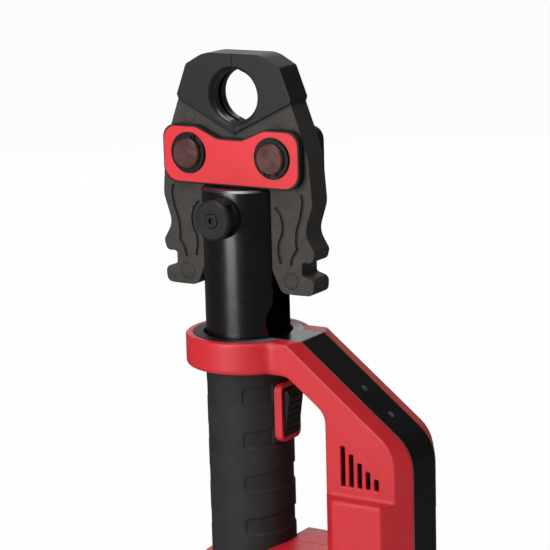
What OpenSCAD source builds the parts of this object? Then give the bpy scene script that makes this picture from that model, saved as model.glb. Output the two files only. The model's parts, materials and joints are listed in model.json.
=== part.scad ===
// Cordless press tool for pipe fittings: a hydraulic head with a two-armed press jaw, held in a
// loop handle that stands on a slide-on battery pack. All sizes are in millimetres.
// +Z is up along the press axis, +X points to the leg of the loop and the jaw faces -Y.
// The origin is where the press axis meets the surface that the tool stands on.

/* [Height stack] */
// Height of the battery pack below the base
battery_h = 62; // [58:1:72]
// Height of the base, from the battery to the foot of the grip
base_h = 48; // [47:1:56]
// Exposed length of the rubber grip
grip_len = 121.5; // [119:0.5:132]
// Height of the collar ring round the barrel
ring_h = 21.7; // [19:0.1:25]
// Height of the barrel above the collar ring
barrel_rise = 98.3; // [96:0.1:106]
// Height of the jaw pins above the fork ears
pin_rise = 21.5; // [21:0.1:23]

/* [Press jaw] */
// Distance between the two jaw pins
pin_pitch = 64.6; // [63:0.2:67]
// Radius of a jaw pin
pin_r = 10; // [8:0.1:10.5]
// Height of the jaw tips above the mouth
jaw_top = 11; // [8:0.5:14]
// Length of the jaw arms below the pins
arm_drop = 90.4; // [89:0.2:95]
// Half width over the outsides of the arms
arm_reach = 57.2; // [56:0.2:60]
// Thickness of the forged arms
arm_t = 19.4; // [17:0.1:19.6]
// How far the machined pressing head stands proud of the forged face
face_proud = 0.9; // [0.4:0.1:1.6]
// Radius of the pressing lands in the jaw mouth
contour_r = 16.8; // [14:0.1:17.2]
// Height of the mouth centre above the pins
contour_rise = 38.2; // [37:0.1:41]
// Length of a side plate beyond the jaw pins
plate_end = 20.3; // [18:0.1:22]
// Height of the side plate's ends above the pins
plate_top = 18.3; // [16:0.1:19]
// Height of the side plate's waist above the pins
plate_waist = 10.9; // [9:0.1:12]
// Gap between the side plates and the fork ears
plate_room = 1.3; // [0.8:0.1:4]
// Thickness of a side plate
plate_t = 5.9; // [4:0.1:8]

/* [Press head] */
// Outer radius of the barrel
barrel_r = 28.2; // [27.5:0.1:28.8]
// Clearance of the jaw set in the fork slot, on each side
fork_clear = 0.2; // [0.1:0.05:0.8]
// Radius of the cross bore at the foot of the fork slot
fork_eye_r = 15.4; // [12:0.1:16]
// Radius of the retaining bolt
bolt_r = 7; // [5:0.1:7.2]
// Depth of the retaining bolt below the jaw pins
bolt_drop = 39.2; // [38:0.2:40]
// Radius of the retaining bolt's knob
knob_r = 13.5; // [12:0.1:15]
// Length of the knob
knob_len = 14; // [12:0.5:18]
// Travel of the roller carriage
stroke = 38; // [34:0.5:40]
// Radius of a press roller
roller_r = 9; // [8:0.1:9.2]
// Radius of the hydraulic piston
piston_r = 17; // [14:0.1:18]
// Radius of the piston rod
rod_r = 8; // [6:0.1:9]

/* [Loop handle] */
// Width of the collar ring
ring_w = 12; // [10.5:0.1:14]
// Gap between the barrel and the collar ring
ring_gap = 1.8; // [1.2:0.1:2.8]
// Distance from the press axis to where the loop turns down
crease_x = 50; // [46:0.5:54]
// Distance from the press axis to the back of the loop
loop_reach = 132; // [126:0.5:142]
// Thickness of the sloping part of the loop
loop_t = 20; // [18:0.5:22]
// Depth of the leg, front to back
leg_depth = 58.5; // [54:0.5:62]
// Slope of the loop's shoulder
slope_angle = 38; // [34:1:42]
// Radius of the bend at the back of the loop
bend_r = 28; // [20:1:36]
// Half width of the loop and the upper leg
loop_half = 27; // [25.5:0.5:29]
// Half width of the lower leg and the base
box_half = 36; // [34:0.5:40]
// Height of the wide lower leg above the foot of the grip
box_rise = 46; // [40:1:50]
// Half width of the black back cover
cover_half = 15; // [12:0.5:17]
// Thickness of the back cover
cover_t = 3; // [2:0.1:3.4]
// Wall thickness of the housing halves
wall = 2.6; // [2:0.1:3.2]
// Number of cooling vents on each side of the leg
vent_count = 5; // [3:1:6]
// Width of a cooling vent
vent_w = 3.4; // [2.4:0.1:4]
// Distance from vent to vent
vent_pitch = 6.15; // [5.6:0.05:7]

/* [Grip and trigger] */
// Outer radius of the rubber grip
grip_r = 29; // [28.4:0.1:30]
// Thickness of the rubber sleeve
sleeve_t = 2.5; // [2:0.1:3]
// Wall of the core tube inside the sleeve
core_t = 2.4; // [2:0.1:2.6]
// Number of recessed bands along the grip
band_count = 4; // [2:1:4]
// Distance from band to band
band_pitch = 30; // [26:0.1:31]
// Height of a recessed band at its ends
band_h = 10; // [7:0.1:12]
// Half width of the trigger frame
frame_half = 12; // [12:0.2:15]
// Height of the trigger frame
frame_h = 40; // [36:0.5:44]
// Half width of the trigger
trigger_half = 9; // [7:0.1:10]
// How far the top of the trigger stands out of its frame
trigger_out = 4.5; // [3:0.1:6]

/* [Battery] */
// Length of the battery pack
battery_len = 130; // [124:1:144]
// Width of the battery pack
battery_w = 78; // [77:1:86]
// Room beside the row of cells at each end of the pack
cell_end = 18; // [16:0.1:20]
// Room beyond the ends of the cells
cell_side = 6.5; // [6.2:0.1:9]
// Number of cells in a row
cell_count = 5; // [4:1:6]
// Half width of the sliding rail
rail_half = 24; // [21:0.5:26]
// Height of the sliding rail
rail_h = 9; // [8:0.2:10]
// Length of the sliding rail
rail_len = 88; // [80:1:94]

/* [Drive] */
// Wall of the ring gear behind its teeth
gear_rim = 3.76; // [3.4:0.02:5]
// Teeth on the sun pinion
sun_teeth = 12; // [12:3:15]
// Height of the motor can
motor_h = 33; // [30:0.5:34]
// Offset of the pump's eccentric
throw = 1.5; // [1:0.1:1.8]

/* [Fits] */
// Gap between pieces that move past each other
gap = 0.3; // [0.2:0.05:0.4]
// Radial clearance of a shaft in its hole
fit = 0.05; // [0.03:0.01:0.1]
// Overrun of a cut past the face that it leaves
overrun = 1; // [0.5:0.1:2]

/* [Hidden] */
$fn = 64;
corner_steps = 5;
corner_share = 0.48;
flank_steps = 3;

// Levels, from the ground up
z_base = battery_h;
z_grip = z_base + base_h;
z_ring = z_grip + grip_len;
z_top = z_ring + ring_h;
z_ear = z_top + barrel_rise;
z_pin = z_ear + pin_rise;
z_box = z_grip + box_rise;
z_bolt = z_pin - bolt_drop;
foot_drop = 15;
z_foot = z_grip - foot_drop;

// Jaw, side plates and pins
seam_gap = 0.3;
jaw_rise = contour_rise + contour_r + jaw_top;
plate_in = arm_t / 2 + gap;
plate_half = pin_pitch / 2 + plate_end;
plate_low = pin_rise - plate_room;
fork_gap = 2 * (plate_in + fork_clear);
plate_out = plate_in + plate_t;
label_t = 0.6;
label_border = 1;
label_hole_gap = 3.8;
label_hole_r = pin_r + label_hole_gap;
label_y = plate_out + label_t;
pin_proud = 4.2;
pin_end = plate_out + pin_proud;
pin_chamfer = 0.8;
clip_t = 1.5;
clip_reach = 2.8;
clip_groove = 0.8;
clip_lug_r = 2.1;
clip_hole_r = 0.9;
clip_mouth = 34;
clip_lug_turn = 6;
clip_turns = [50, -90];
boss_r = 5.2;
boss_h = 0.2;
lip_extra = 1.2;
lip_chamfer = 1.6;
land_w = 4.5;
land_edge = 2.6;
groove_extra = 1.7;
cusp_half = 8;
cusp_extra = 3;
cusp_share = 0.8;
line_w = 2;
line_depth = 1;
// The outside of a jaw half: shares of the arm reach and of the jaw rise, then the corner's radius
// as a share of the arm reach
jaw_upper_shares = [[0.385, 1, 0.35], [0.633, 0.88, 0.07], [0.769, 0.573, 0.012], [0.755, 0.536, 0],
    [0.874, 0.258, 0.17], [0.969, 0, 0.35]];
// The arm below the pin: shares of the arm reach and of the arm drop, then the corner's radius
// as a share of the arm reach
jaw_arm_shares = [[1.012, 0.332, 0.31], [0.902, 0.548, 0.21], [1.03, 0.68, 0.08], [0.99, 0.757, 0.06],
    [0.853, 0.757, 0.035], [0.853, 0.854, 0.035], [1.014, 0.883, 0.073], [1, 0.999, 0.08],
    [0.77, 1.002, 0.3]];
// Shallow forging lines on the arm faces, as shares of the arm reach and of the arm drop
outer_line_shares = [[0.87, 0.26], [0.89, 0.32], [0.86, 0.42], [0.8, 0.53], [0.79, 0.62], [0.8, 0.67],
    [0.74, 0.72], [0.71, 0.79]];
inner_line_shares = [[0.52, 0.37], [0.59, 0.42], [0.62, 0.49], [0.61, 0.56], [0.56, 0.63], [0.55, 0.7],
    [0.58, 0.78]];
// Round forging marks, as shares of the arm reach and of the jaw rise or the arm drop
upper_mark_shares = [0.63, 0.37];
lower_mark_shares = [0.71, 0.9];
face_vee_share = 0.21;
// Where the roller edge of the arm turns to its heel, as a share of the arm drop
heel_share = 0.885;
// Corners of the side plates: waist and shoulder as shares of the half length, then the corner radii
plate_waist_share = 0.18;
plate_shoulder_share = 0.5;
plate_waist_r = 12;
plate_shoulder_r = 10;
plate_top_r = 9;
plate_low_r = 10.5;

// Anchor block between the plates, its rivets and the jaw spring
anchor_half = 11;
anchor_top = 4;
anchor_foot = 4;
anchor_room = 0.8;
anchor_top_r = 3;
anchor_foot_r = 4;
rivet_r = 3;
rivet_x = 6;
rivet_drop = 10;
rivet_len = plate_out;
spring_drop = 21;
spring_rise = 6;
spring_t = 1.6;
spring_w = 4.6;
spring_clear = 0.7;
spring_steps = 6;

// Roller carriage, rollers and the cam edge of the arms
roller_part = 0.5;
roller_x = roller_r + roller_part;
roller_drop = bolt_drop + bolt_r + anchor_foot + anchor_room + roller_r;
roller_half = 5;
axle_r = 4;
cheek_r = 6;
cheek_out = fork_gap / 2 - gap;
carriage_foot = 13;
foot_t = 3.4;
cam_gap = 0.5;
cam_x = roller_x + roller_r + cam_gap;
cam_lead = 2;
cam_flare = 9.2;
heel_flare = 14;
cam_round = 5;
heel_round = 6;
relief_room = 9.6;
relief_x = anchor_half + relief_room;
relief_below = 8.8;
relief_drop = bolt_drop + relief_below;
hub_r = 14.1;
hub_drop = 18;
throat_x = 12.5;
throat_drop = 4;
throat_rise = 9;

// Press head and hydraulics
ear_chamfer = 1.5;
floor_gap = 1;
z_axle = z_pin - roller_drop;
z_floor = z_axle - stroke - carriage_foot - floor_gap;
eye_rise = 2;
z_eye = z_floor + eye_rise;
cyl_drop = 4.5;
z_cyl_top = z_ring - cyl_drop;
guide_len = z_eye - fork_eye_r - z_cyl_top;
coil_len = 16;
piston_t = 12;
z_piston = z_cyl_top - coil_len - piston_t;
sump_h = 4;
z_neck = z_piston - stroke - sump_h;
core_r = grip_r - sleeve_t;
core_in = core_r - core_t;
neck_room = 1.7;
neck_r = core_in - neck_room;
lip_t = 3;
lip_gap = 1.2;
shoulder_gap = 0.4;
z_shoulder = z_ring + lip_t + shoulder_gap;
lock_share = 0.37;
lock_groove = (neck_r - piston_r) * lock_share;
lock_h = 1.6;
lock_drop = 8;
z_lock = z_ring - lock_drop;
seal_w = 3;
seal_t = 2;
z_seal = z_cyl_top + (guide_len - seal_w) / 2;
coil_turns = 5;
coil_wire = 1;
coil_room = 4;
coil_r = rod_r + coil_room;
coil_rings = 8;
coil_sides = 6;
spot_depth = 1.7;
spot_y = barrel_r - spot_depth;
knob_y = spot_y + gap + knob_len;
knob_edge = 1.5;
knob_pockets = 6;
knob_pocket_w = 8;
knob_pocket_h = 6.5;
knob_pocket_depth = 2;
face_groove_r = 9.5;
face_groove_w = 1.6;
face_groove_depth = 1.2;
bolt_inset = 6;
bolt_tip = 2;
button_r = 4.6;
button_len = 4.5;
button_travel = 2;
button_out = 0.5;
button_dimple_r = 3;
button_dimple = 0.6;

// Loop handle
lip_r = grip_r - lip_gap;
ring_hole_r = barrel_r + ring_gap;
ring_r = ring_hole_r + ring_w;
cover_ring_w = 7.1;
cover_ring_r = ring_hole_r + cover_ring_w;
ring_rim = 1.8;
ring_foot_r = 3;
cover_margin = 0.5;
bevel_y = cover_half + cover_margin;
edge_in = 1.2;
edge_lift_share = 0.6;
crease_back = 4.9;
bevel_back = 7.5;
bend_back = 4;
foot_round = 13;
arm_round = 12;
crease_round = 2;
blend_r = 10;
blend_sink = 0.3;
blend_root = 1.2;
collar_dip = 0.2;
ring_steps = 40;
loop_root = 1;
loop_from = ring_hole_r + loop_root;
leg_x = loop_reach - leg_depth;
box_bevel_x = 9.7;
box_back_x = 13;
box_lap = 0.2;
box_sink = 12;
base_end = leg_x + box_bevel_x;
crown = 1.6;
crown_in = 18;
step_x = 24;
step_run = 9;
step_lift = 1.4;
base_round = 4;
base_round_share = 0.3;
cover_end = 8;
lens_r = 2.2;
lens_t = 1.6;
lens_shares = [0.47, 0.71];
vent_inset = 13.3;
vent_x = leg_x + vent_inset;
vent_rise = 7.2;
vent_top_shares = [1, 0.82, 0.63, 0.45, 0.29, 0.2];
vent_h = 27.1;
vent_round = 0.9;
screw_r = 1.6;
screw_head_r = 3.2;
screw_head_t = 2.4;
screw_bite = 9;
screw_sink = 3;
screw_box_sink = 7.5;
screw_nose_share = 0.28;
post_r = 4;
post_drop_share = 1.4;

// Grip, core and trigger
band_depth = 0.7;
band_first = 18;
band_from = -68;
band_span = 136;
back_from = 140;
back_span = 80;
band_flat = 9;
band_peak = 3.2;
sleeve_foot = 6;
frame_top = 10.5;
frame_out = 3;
frame_x = grip_r + frame_out;
frame_rim = 3.4;
frame_round = 5;
z_frame = z_ring - frame_top - frame_h;
trigger_room = 0.6;
trigger_back = core_r + gap + trigger_room;
trigger_lean = 3.2;
trigger_pin_r = 1.5;
trigger_pin_rise = 3.2;
trigger_pin_out = 1;
trigger_pin_x = grip_r + trigger_pin_out;
trigger_pin_inset = 1;
trigger_pin_half = frame_half - trigger_pin_inset;
z_trigger_pin = z_frame + frame_rim + trigger_pin_rise;
trigger_round = 1.6;
ridge_count = 6;
ridge_depth = 0.5;
ridge_share = 1.6;
switch_half = 5;
switch_h = 8;
switch_rise = 22;

// Base rail channel and terminal block
rail_undercut = 4;
rail_lip_half = rail_half - rail_undercut;
rail_lip = 4.6;
rail_x = -30;
battery_x = -38;
channel_room = 4;
channel_end = rail_x + rail_len + channel_room;
base_floor = z_base + rail_h + gap + wall;
terminal_len = 9;
terminal_half = 15;
blade_len = 18;
blade_t = 1;
blade_ys = [-10, 10];
blade_room = 0.7;

// Drive line
planet_teeth = 18;
motor_gap = 0.2;
z_motor = base_floor + motor_gap;
z_gear = z_motor + motor_h + motor_gap;
gear_h = 17;
z_pump = z_gear + gear_h + gap;
z_pump_top = z_neck - gap;
pump_h = z_pump_top - z_pump;
ring_teeth = sun_teeth + 2 * planet_teeth;
gear_angle = 25;
tooth_add = 0.8;
tooth_ded = 1.05;
tooth_slack = 0.16;
drive_r = core_in - gap;
gear_module = (drive_r - gear_rim) / (ring_teeth / 2 + tooth_ded);
gear_reach = gear_module * (sun_teeth + planet_teeth) / 2;
planet_turns = [0, 120, 240];
gear_w = 9;
gear_rise = 1;
planet_pin_r = 2;
carrier_t = 4;
carrier_rim = 4;
carrier_r = gear_reach + carrier_rim;
hub_shaft_r = 5;
ecc_r = 5.5;
ecc_share = 0.25;
ecc_h = pump_h * ecc_share;
bearing_r = 9;
chamber_r = 12.5;
chamber_share = 0.4;
plunger_share = 0.11;
plunger_r = pump_h * plunger_share;
plunger_len = 8;
valve_r = 3;
valve_wall = 1.2;
valve_y = chamber_r + valve_wall + valve_r;
valve_share = 0.28;
valve_len = pump_h * valve_share;
oil_in_r = 10;
oil_out_r = 18;
oil_share = 0.22;
oil_h = pump_h * oil_share;
can_t = 2;
stator_r = drive_r - can_t;
stator_in = 12.8;
stator_h = 20;
stator_slots = 6;
slot_w = 4;
rotor_gap = 0.5;
rotor_r = stator_in - rotor_gap;
shaft_r = 2.5;
race_r = 6.5;
race_h = 4;

// Control board in the leg
board_w = 24;
board_h = 62;
board_t = 1.6;
board_inset = 13;
board_x = leg_x + board_inset;
board_rise = 10;
rib_t = 2;
rib_h = 4;
part_h = 10;
part_pitch_share = 1.4;

// Battery pack
case_wall = 2.4;
case_round = 8;
lid_h = 20;
case_split = battery_h - lid_h;
latch_x = -14;
latch_w = 18;
latch_h = 12;
latch_drop = 34;
latch_rise = battery_h - latch_drop;
latch_out = 1.2;
latch_flange = 1.4;
contact_len = 4;
contact_w = 5;
contact_t = 1.2;
cell_gap = 0.4;
cell_pitch = (battery_len - 2 * cell_end) / cell_count;
cell_r = (cell_pitch - cell_gap) / 2;
cell_len = battery_w - 2 * cell_side;
foot_bevel = 2;
pack_screw_inset = 9;

// Outline helpers

function unit(v) = v / norm(v);

// Points of one rounded corner of a polygon; each point is [x, y, corner radius]
function corner(a, b, c) =
    let (u = unit([a[0] - b[0], a[1] - b[1]]), v = unit([c[0] - b[0], c[1] - b[1]]))
    let (half = acos(max(-1, min(1, u * v))) / 2)
    let (reach = corner_share * min(norm([a[0] - b[0], a[1] - b[1]]), norm([c[0] - b[0], c[1] - b[1]])))
    let (r = min(b[2], reach * tan(half)))
    let (mid = [b[0], b[1]] + unit(u + v) * r / sin(half))
    let (p = [b[0], b[1]] + u * r / tan(half), q = [b[0], b[1]] + v * r / tan(half))
    let (from = atan2(p[1] - mid[1], p[0] - mid[0]), to = atan2(q[1] - mid[1], q[0] - mid[0]))
    let (turn = to - from > 180 ? to - from - 360 : to - from < -180 ? to - from + 360 : to - from)
    [for (i = [0 : corner_steps]) let (a = from + turn * i / corner_steps) mid + r * [cos(a), sin(a)]];

function rounded(pts) =
    let (n = len(pts))
    [for (i = [0 : n - 1]) each (pts[i][2] > 0 ? corner(pts[(i + n - 1) % n], pts[i], pts[(i + 1) % n])
        : [[pts[i][0], pts[i][1]]])];

function flipped(pts) = [for (i = [len(pts) - 1 : -1 : 0]) [-pts[i][0], pts[i][1], pts[i][2]]];

// A line of even width along a path, as one closed outline
function side_point(path, i, d) =
    let (a = path[max(0, i - 1)], b = path[min(len(path) - 1, i + 1)], t = unit(b - a))
    path[i] + d * [-t[1], t[0]];

function ribbon(path, w) = concat(
    [for (i = [0 : len(path) - 1]) side_point(path, i, w / 2)],
    [for (i = [len(path) - 1 : -1 : 0]) side_point(path, i, -w / 2)]);

// Extrudes an outline drawn in X and Z from y0 to y1
module slab(y0, y1) {
    translate([0, y1, 0])
        rotate([90, 0, 0])
            linear_extrude(height = y1 - y0)
                children();
}

// A cylinder along Y from y0 to y1
module rod_y(x, z, r, y0, y1) {
    translate([x, y1, z])
        rotate([90, 0, 0])
            cylinder(h = y1 - y0, r = r);
}

// A cylinder along Z from z0 to z1
module rod_z(r, z0, z1) {
    translate([0, 0, z0])
        cylinder(h = z1 - z0, r = r);
}

// A tube along Z
module tube_z(r_out, r_in, z0, z1) {
    difference() {
        rod_z(r_out, z0, z1);
        rod_z(r_in, z0 - overrun, z1 + overrun);
    }
}

// A box from its lowest to its highest corner
module block(low, high) {
    translate(low)
        cube(high - low);
}

// Skins equal outlines, drawn clockwise and each on its own level, into one closed solid along Z.
// Strips between the first and the second half of the points close each end.
module loft(sections) {
    n = len(sections[0][1]);
    last = len(sections) - 1;
    pts = [for (s = sections) for (p = s[1]) [p[0], p[1], s[0]]];
    sides = [for (k = [0 : last - 1]) for (j = [0 : n - 1])
        [k * n + j, k * n + (j + 1) % n, (k + 1) * n + (j + 1) % n, (k + 1) * n + j]];
    half = floor(n / 2);
    strips = concat([for (j = [0 : half - 2]) [j, j + 1, n - 2 - j, n - 1 - j]],
        n % 2 > 0 ? [[half - 1, half, half + 1]] : []);
    low_cap = [for (f = strips) [for (i = [len(f) - 1 : -1 : 0]) f[i]]];
    high_cap = [for (f = strips) [for (j = f) last * n + j]];
    polyhedron(points = pts, faces = concat(sides, low_cap, high_cap));
}

// Press jaw

function jaw_point(s, rise) = [s[0] * arm_reach, s[1] * rise, s[2] * arm_reach];

function jaw_outline() = rounded(concat(
    [[seam_gap / 2, jaw_rise, 0]],
    [for (s = jaw_upper_shares) jaw_point(s, jaw_rise)],
    [for (s = jaw_arm_shares) jaw_point(s, -arm_drop)],
    [[cam_x + heel_flare, -arm_drop, heel_round],
     [cam_x + cam_flare, -arm_drop * heel_share, heel_round],
     [cam_x, -roller_drop + cam_lead, cam_round],
     [relief_x, -relief_drop, heel_round],
     [pin_pitch / 2 - hub_r, -hub_drop, heel_round],
     [throat_x, -throat_drop, cam_round],
     [seam_gap / 2, throat_rise, 0]]));

function head_outline() = rounded(concat(
    [[seam_gap / 2, jaw_rise, 0]],
    [for (i = [0 : 3]) jaw_point(jaw_upper_shares[i], jaw_rise)],
    [[seam_gap / 2, face_vee_share * jaw_rise, 0]]));

// The round mouth with its pressing lands, its lead-in and the relief at the parting line
module mouth_cut() {
    head_y = arm_t / 2 + face_proud;
    lip_r = contour_r + lip_extra;
    rod_y(0, contour_rise, contour_r, -head_y - overrun, head_y + overrun);
    for (s = [-1, 1])
        translate([0, s * (head_y + overrun), contour_rise])
            rotate([s * 90, 0, 0])
                rotate_extrude()
                    polygon([[0, 0], [lip_r + lip_chamfer + overrun, 0], [lip_r, lip_chamfer + overrun],
                        [lip_r, land_edge + overrun], [contour_r, land_edge + overrun + lip_extra],
                        [0, land_edge + overrun + lip_extra]]);
    rod_y(0, contour_rise, contour_r + groove_extra, -head_y + land_edge + lip_extra + land_w,
        head_y - land_edge - lip_extra - land_w);
    slab(-head_y - overrun, head_y + overrun)
        for (s = [-1, 1])
            polygon([[-cusp_half, contour_rise + s * contour_r * cusp_share],
                [cusp_half, contour_rise + s * contour_r * cusp_share],
                [0, contour_rise + s * (contour_r + cusp_extra)]]);
}

module jaw_lines(y) {
    for (shares = [outer_line_shares, inner_line_shares])
        slab(y - line_depth, y + line_depth)
            polygon(ribbon([for (s = shares) [s[0] * arm_reach, -s[1] * arm_drop]], line_w));
}

module jaw_half() {
    half_t = arm_t / 2;
    translate([0, 0, z_pin])
        difference() {
            union() {
                slab(-half_t, half_t)
                    polygon(jaw_outline());
                slab(-half_t - face_proud, half_t + face_proud)
                    polygon(head_outline());
                rod_y(lower_mark_shares[0] * arm_reach, -lower_mark_shares[1] * arm_drop, boss_r,
                    -half_t - boss_h, half_t + boss_h);
                rod_y(upper_mark_shares[0] * arm_reach, upper_mark_shares[1] * jaw_rise, boss_r,
                    -half_t - boss_h, half_t + boss_h);
            }
            rod_y(pin_pitch / 2, 0, pin_r + fit, -half_t - overrun, half_t + overrun);
            mouth_cut();
            jaw_lines(half_t);
            jaw_lines(-half_t);
        }
}

module jaw_right() {
    color("#4a4744")
        jaw_half();
}

module jaw_left() {
    color("#4a4744")
        mirror([1, 0, 0])
            jaw_half();
}

// Outline of a side plate, drawn in by an even border
function plate_half_outline(inset) = [
    [plate_half * plate_waist_share, plate_waist - inset, plate_waist_r],
    [plate_half * plate_shoulder_share, plate_top - inset, plate_shoulder_r],
    [plate_half - inset, plate_top - inset, plate_top_r],
    [plate_half - inset, -plate_low + inset, plate_low_r]];

function plate_outline(inset) =
    rounded(concat(plate_half_outline(inset), flipped(plate_half_outline(inset))));

module side_plate(y0, y1) {
    translate([0, 0, z_pin])
        difference() {
            slab(y0, y1)
                polygon(plate_outline(0));
            for (s = [-1, 1]) {
                rod_y(s * pin_pitch / 2, 0, pin_r, y0 - overrun, y1 + overrun);
                rod_y(s * rivet_x, -rivet_drop, rivet_r, y0 - overrun, y1 + overrun);
            }
        }
}

module side_plate_front() {
    color("#1d1d1d")
        side_plate(-plate_out, -plate_in);
}

module side_plate_rear() {
    color("#1d1d1d")
        side_plate(plate_in, plate_out);
}

module plate_label(y0, y1) {
    translate([0, 0, z_pin])
        difference() {
            slab(y0, y1)
                polygon(plate_outline(label_border));
            for (s = [-1, 1])
                rod_y(s * pin_pitch / 2, 0, label_hole_r, y0 - overrun, y1 + overrun);
        }
}

module label_front() {
    color("#d63c42")
        plate_label(-label_y, -plate_out);
}

module label_rear() {
    color("#d63c42")
        plate_label(plate_out, label_y);
}

// A pin with a chamfered end and a ring groove on each side
module jaw_pin() {
    groove_r = pin_r - clip_groove;
    rotate([90, 0, 0])
        rotate_extrude()
            for (s = [-1, 1])
                polygon([[0, 0], [pin_r, 0], [pin_r, s * plate_out], [groove_r, s * plate_out],
                    [groove_r, s * (plate_out + clip_t)], [pin_r, s * (plate_out + clip_t)],
                    [pin_r, s * (pin_end - pin_chamfer)], [pin_r - pin_chamfer, s * pin_end],
                    [0, s * pin_end]]);
}

module jaw_pins() {
    color("#6e4643")
        for (s = [-1, 1])
            translate([s * pin_pitch / 2, 0, z_pin])
                jaw_pin();
}

// An open retaining ring with two drilled lugs, its mouth turned to the given angle
module retaining_ring(turn) {
    r_in = pin_r - clip_groove;
    r_out = pin_r + clip_reach;
    wide = 2 * r_out;
    rotate(turn)
        difference() {
            union() {
                difference() {
                    circle(r = r_out);
                    circle(r = r_in);
                    polygon([[0, 0], [wide * cos(clip_mouth / 2), -wide * sin(clip_mouth / 2)],
                        [wide * cos(clip_mouth / 2), wide * sin(clip_mouth / 2)]]);
                }
                for (s = [-1, 1])
                    rotate(s * (clip_mouth / 2 + clip_lug_turn))
                        translate([r_in + clip_lug_r, 0])
                            circle(r = clip_lug_r);
            }
            for (s = [-1, 1])
                rotate(s * (clip_mouth / 2 + clip_lug_turn))
                    translate([r_in + clip_lug_r, 0])
                        circle(r = clip_hole_r);
        }
}

module pin_clips() {
    color("#8b8b88")
        for (s = [-1, 1])
            for (y = [-plate_out - clip_t, plate_out])
                translate([s * pin_pitch / 2, 0, z_pin])
                    slab(y, y + clip_t)
                        retaining_ring(s < 0 ? clip_turns[0] : clip_turns[1]);
}

// The block between the plates that the retaining bolt passes through
module anchor_block() {
    foot = -bolt_drop - bolt_r - anchor_foot;
    color("#55524e")
        translate([0, 0, z_pin])
            difference() {
                slab(-plate_in, plate_in)
                    polygon(rounded([[-anchor_half, -anchor_top, anchor_top_r],
                        [anchor_half, -anchor_top, anchor_top_r], [anchor_half, foot, anchor_foot_r],
                        [-anchor_half, foot, anchor_foot_r]]));
                rod_y(0, -bolt_drop, bolt_r + fit, -plate_in - overrun, plate_in + overrun);
                for (s = [-1, 1])
                    rod_y(s * rivet_x, -rivet_drop, rivet_r, -plate_in - overrun, plate_in + overrun);
                block([-anchor_half - overrun, -spring_w / 2 - gap, -spring_drop - spring_t],
                    [anchor_half + overrun, spring_w / 2 + gap, -spring_drop + spring_rise + spring_t]);
            }
}

module anchor_rivets() {
    color("#77736e")
        for (s = [-1, 1])
            rod_y(s * rivet_x, z_pin - rivet_drop, rivet_r, -rivet_len, rivet_len);
}

// Bowed leaf spring through the anchor block that pushes the arms apart and closes the jaw
module jaw_spring() {
    span = pin_pitch / 2 - hub_r - spring_clear;
    rise = spring_rise + spring_t / 2;
    path = [for (i = [-spring_steps : spring_steps]) let (t = i / spring_steps)
        [span * t, -spring_drop + rise * (1 - t * t)]];
    color("#9a9a96")
        translate([0, 0, z_pin])
            slab(-spring_w / 2, spring_w / 2)
                polygon(ribbon(path, spring_t));
}

// Press head and its hydraulics

module press_head() {
    color("#161616")
        difference() {
            rotate_extrude()
                polygon([[0, z_neck], [neck_r, z_neck], [neck_r, z_lock - lock_h],
                    [neck_r - lock_groove, z_lock - lock_h], [neck_r - lock_groove, z_lock],
                    [neck_r, z_lock], [neck_r, z_shoulder], [barrel_r, z_shoulder],
                    [barrel_r, z_ear - ear_chamfer], [barrel_r - ear_chamfer, z_ear], [0, z_ear]]);
            block([-barrel_r - overrun, -fork_gap / 2, z_floor],
                [barrel_r + overrun, fork_gap / 2, z_ear + overrun]);
            translate([0, 0, z_eye])
                rotate([0, 90, 0])
                    cylinder(h = 2 * (barrel_r + overrun), r = fork_eye_r, center = true);
            rod_z(rod_r + fit, z_cyl_top - overrun, z_eye);
            rod_z(piston_r + fit, z_neck - overrun, z_cyl_top);
            rod_z(rod_r + seal_t, z_seal, z_seal + seal_w);
            rod_y(0, z_bolt, bolt_r + fit, -barrel_r - overrun, barrel_r + overrun);
            rod_y(0, z_bolt, knob_r + gap, -barrel_r - overrun, -spot_y);
        }
}

module retaining_bolt() {
    color("#8e8c88")
        translate([0, -spot_y - gap - bolt_inset, z_bolt])
            rotate([-90, 0, 0])
                rotate_extrude()
                    polygon([[0, 0], [bolt_r, 0], [bolt_r, 2 * spot_y + bolt_inset - bolt_tip],
                        [bolt_r - bolt_tip, 2 * spot_y + bolt_inset], [0, 2 * spot_y + bolt_inset]]);
}

// Round knob with finger pockets, a ring groove in its face and a bore for the release button
module bolt_knob() {
    back = -spot_y - gap;
    face = -knob_y;
    color("#202020")
        difference() {
            translate([0, back, z_bolt])
                rotate([90, 0, 0])
                    rotate_extrude()
                        polygon([[0, 0], [knob_r - knob_edge / 2, 0], [knob_r, knob_edge / 2],
                            [knob_r, knob_len - knob_edge], [knob_r - knob_edge, knob_len],
                            [face_groove_r, knob_len], [face_groove_r, knob_len - face_groove_depth],
                            [face_groove_r - face_groove_w, knob_len - face_groove_depth],
                            [face_groove_r - face_groove_w, knob_len], [0, knob_len]]);
            rod_y(0, z_bolt, bolt_r, back - bolt_inset, back + overrun);
            rod_y(0, z_bolt, button_r + gap, face - overrun, face + button_len + button_travel + gap);
            for (i = [0 : knob_pockets - 1])
                translate([0, 0, z_bolt])
                    rotate([0, i * 360 / knob_pockets, 0])
                        block([-knob_pocket_w / 2, (back + face - knob_pocket_h) / 2,
                            knob_r - knob_pocket_depth],
                            [knob_pocket_w / 2, (back + face + knob_pocket_h) / 2, knob_r + overrun]);
        }
}

module bolt_button() {
    color("#2c2c2c")
        translate([0, -knob_y + button_len, z_bolt])
            rotate([90, 0, 0])
                rotate_extrude()
                    polygon([[0, 0], [button_r, 0], [button_r, button_len + button_out],
                        [button_dimple_r, button_len + button_out],
                        [button_dimple_r / 2, button_len + button_out - button_dimple],
                        [0, button_len + button_out - button_dimple]]);
}

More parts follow.
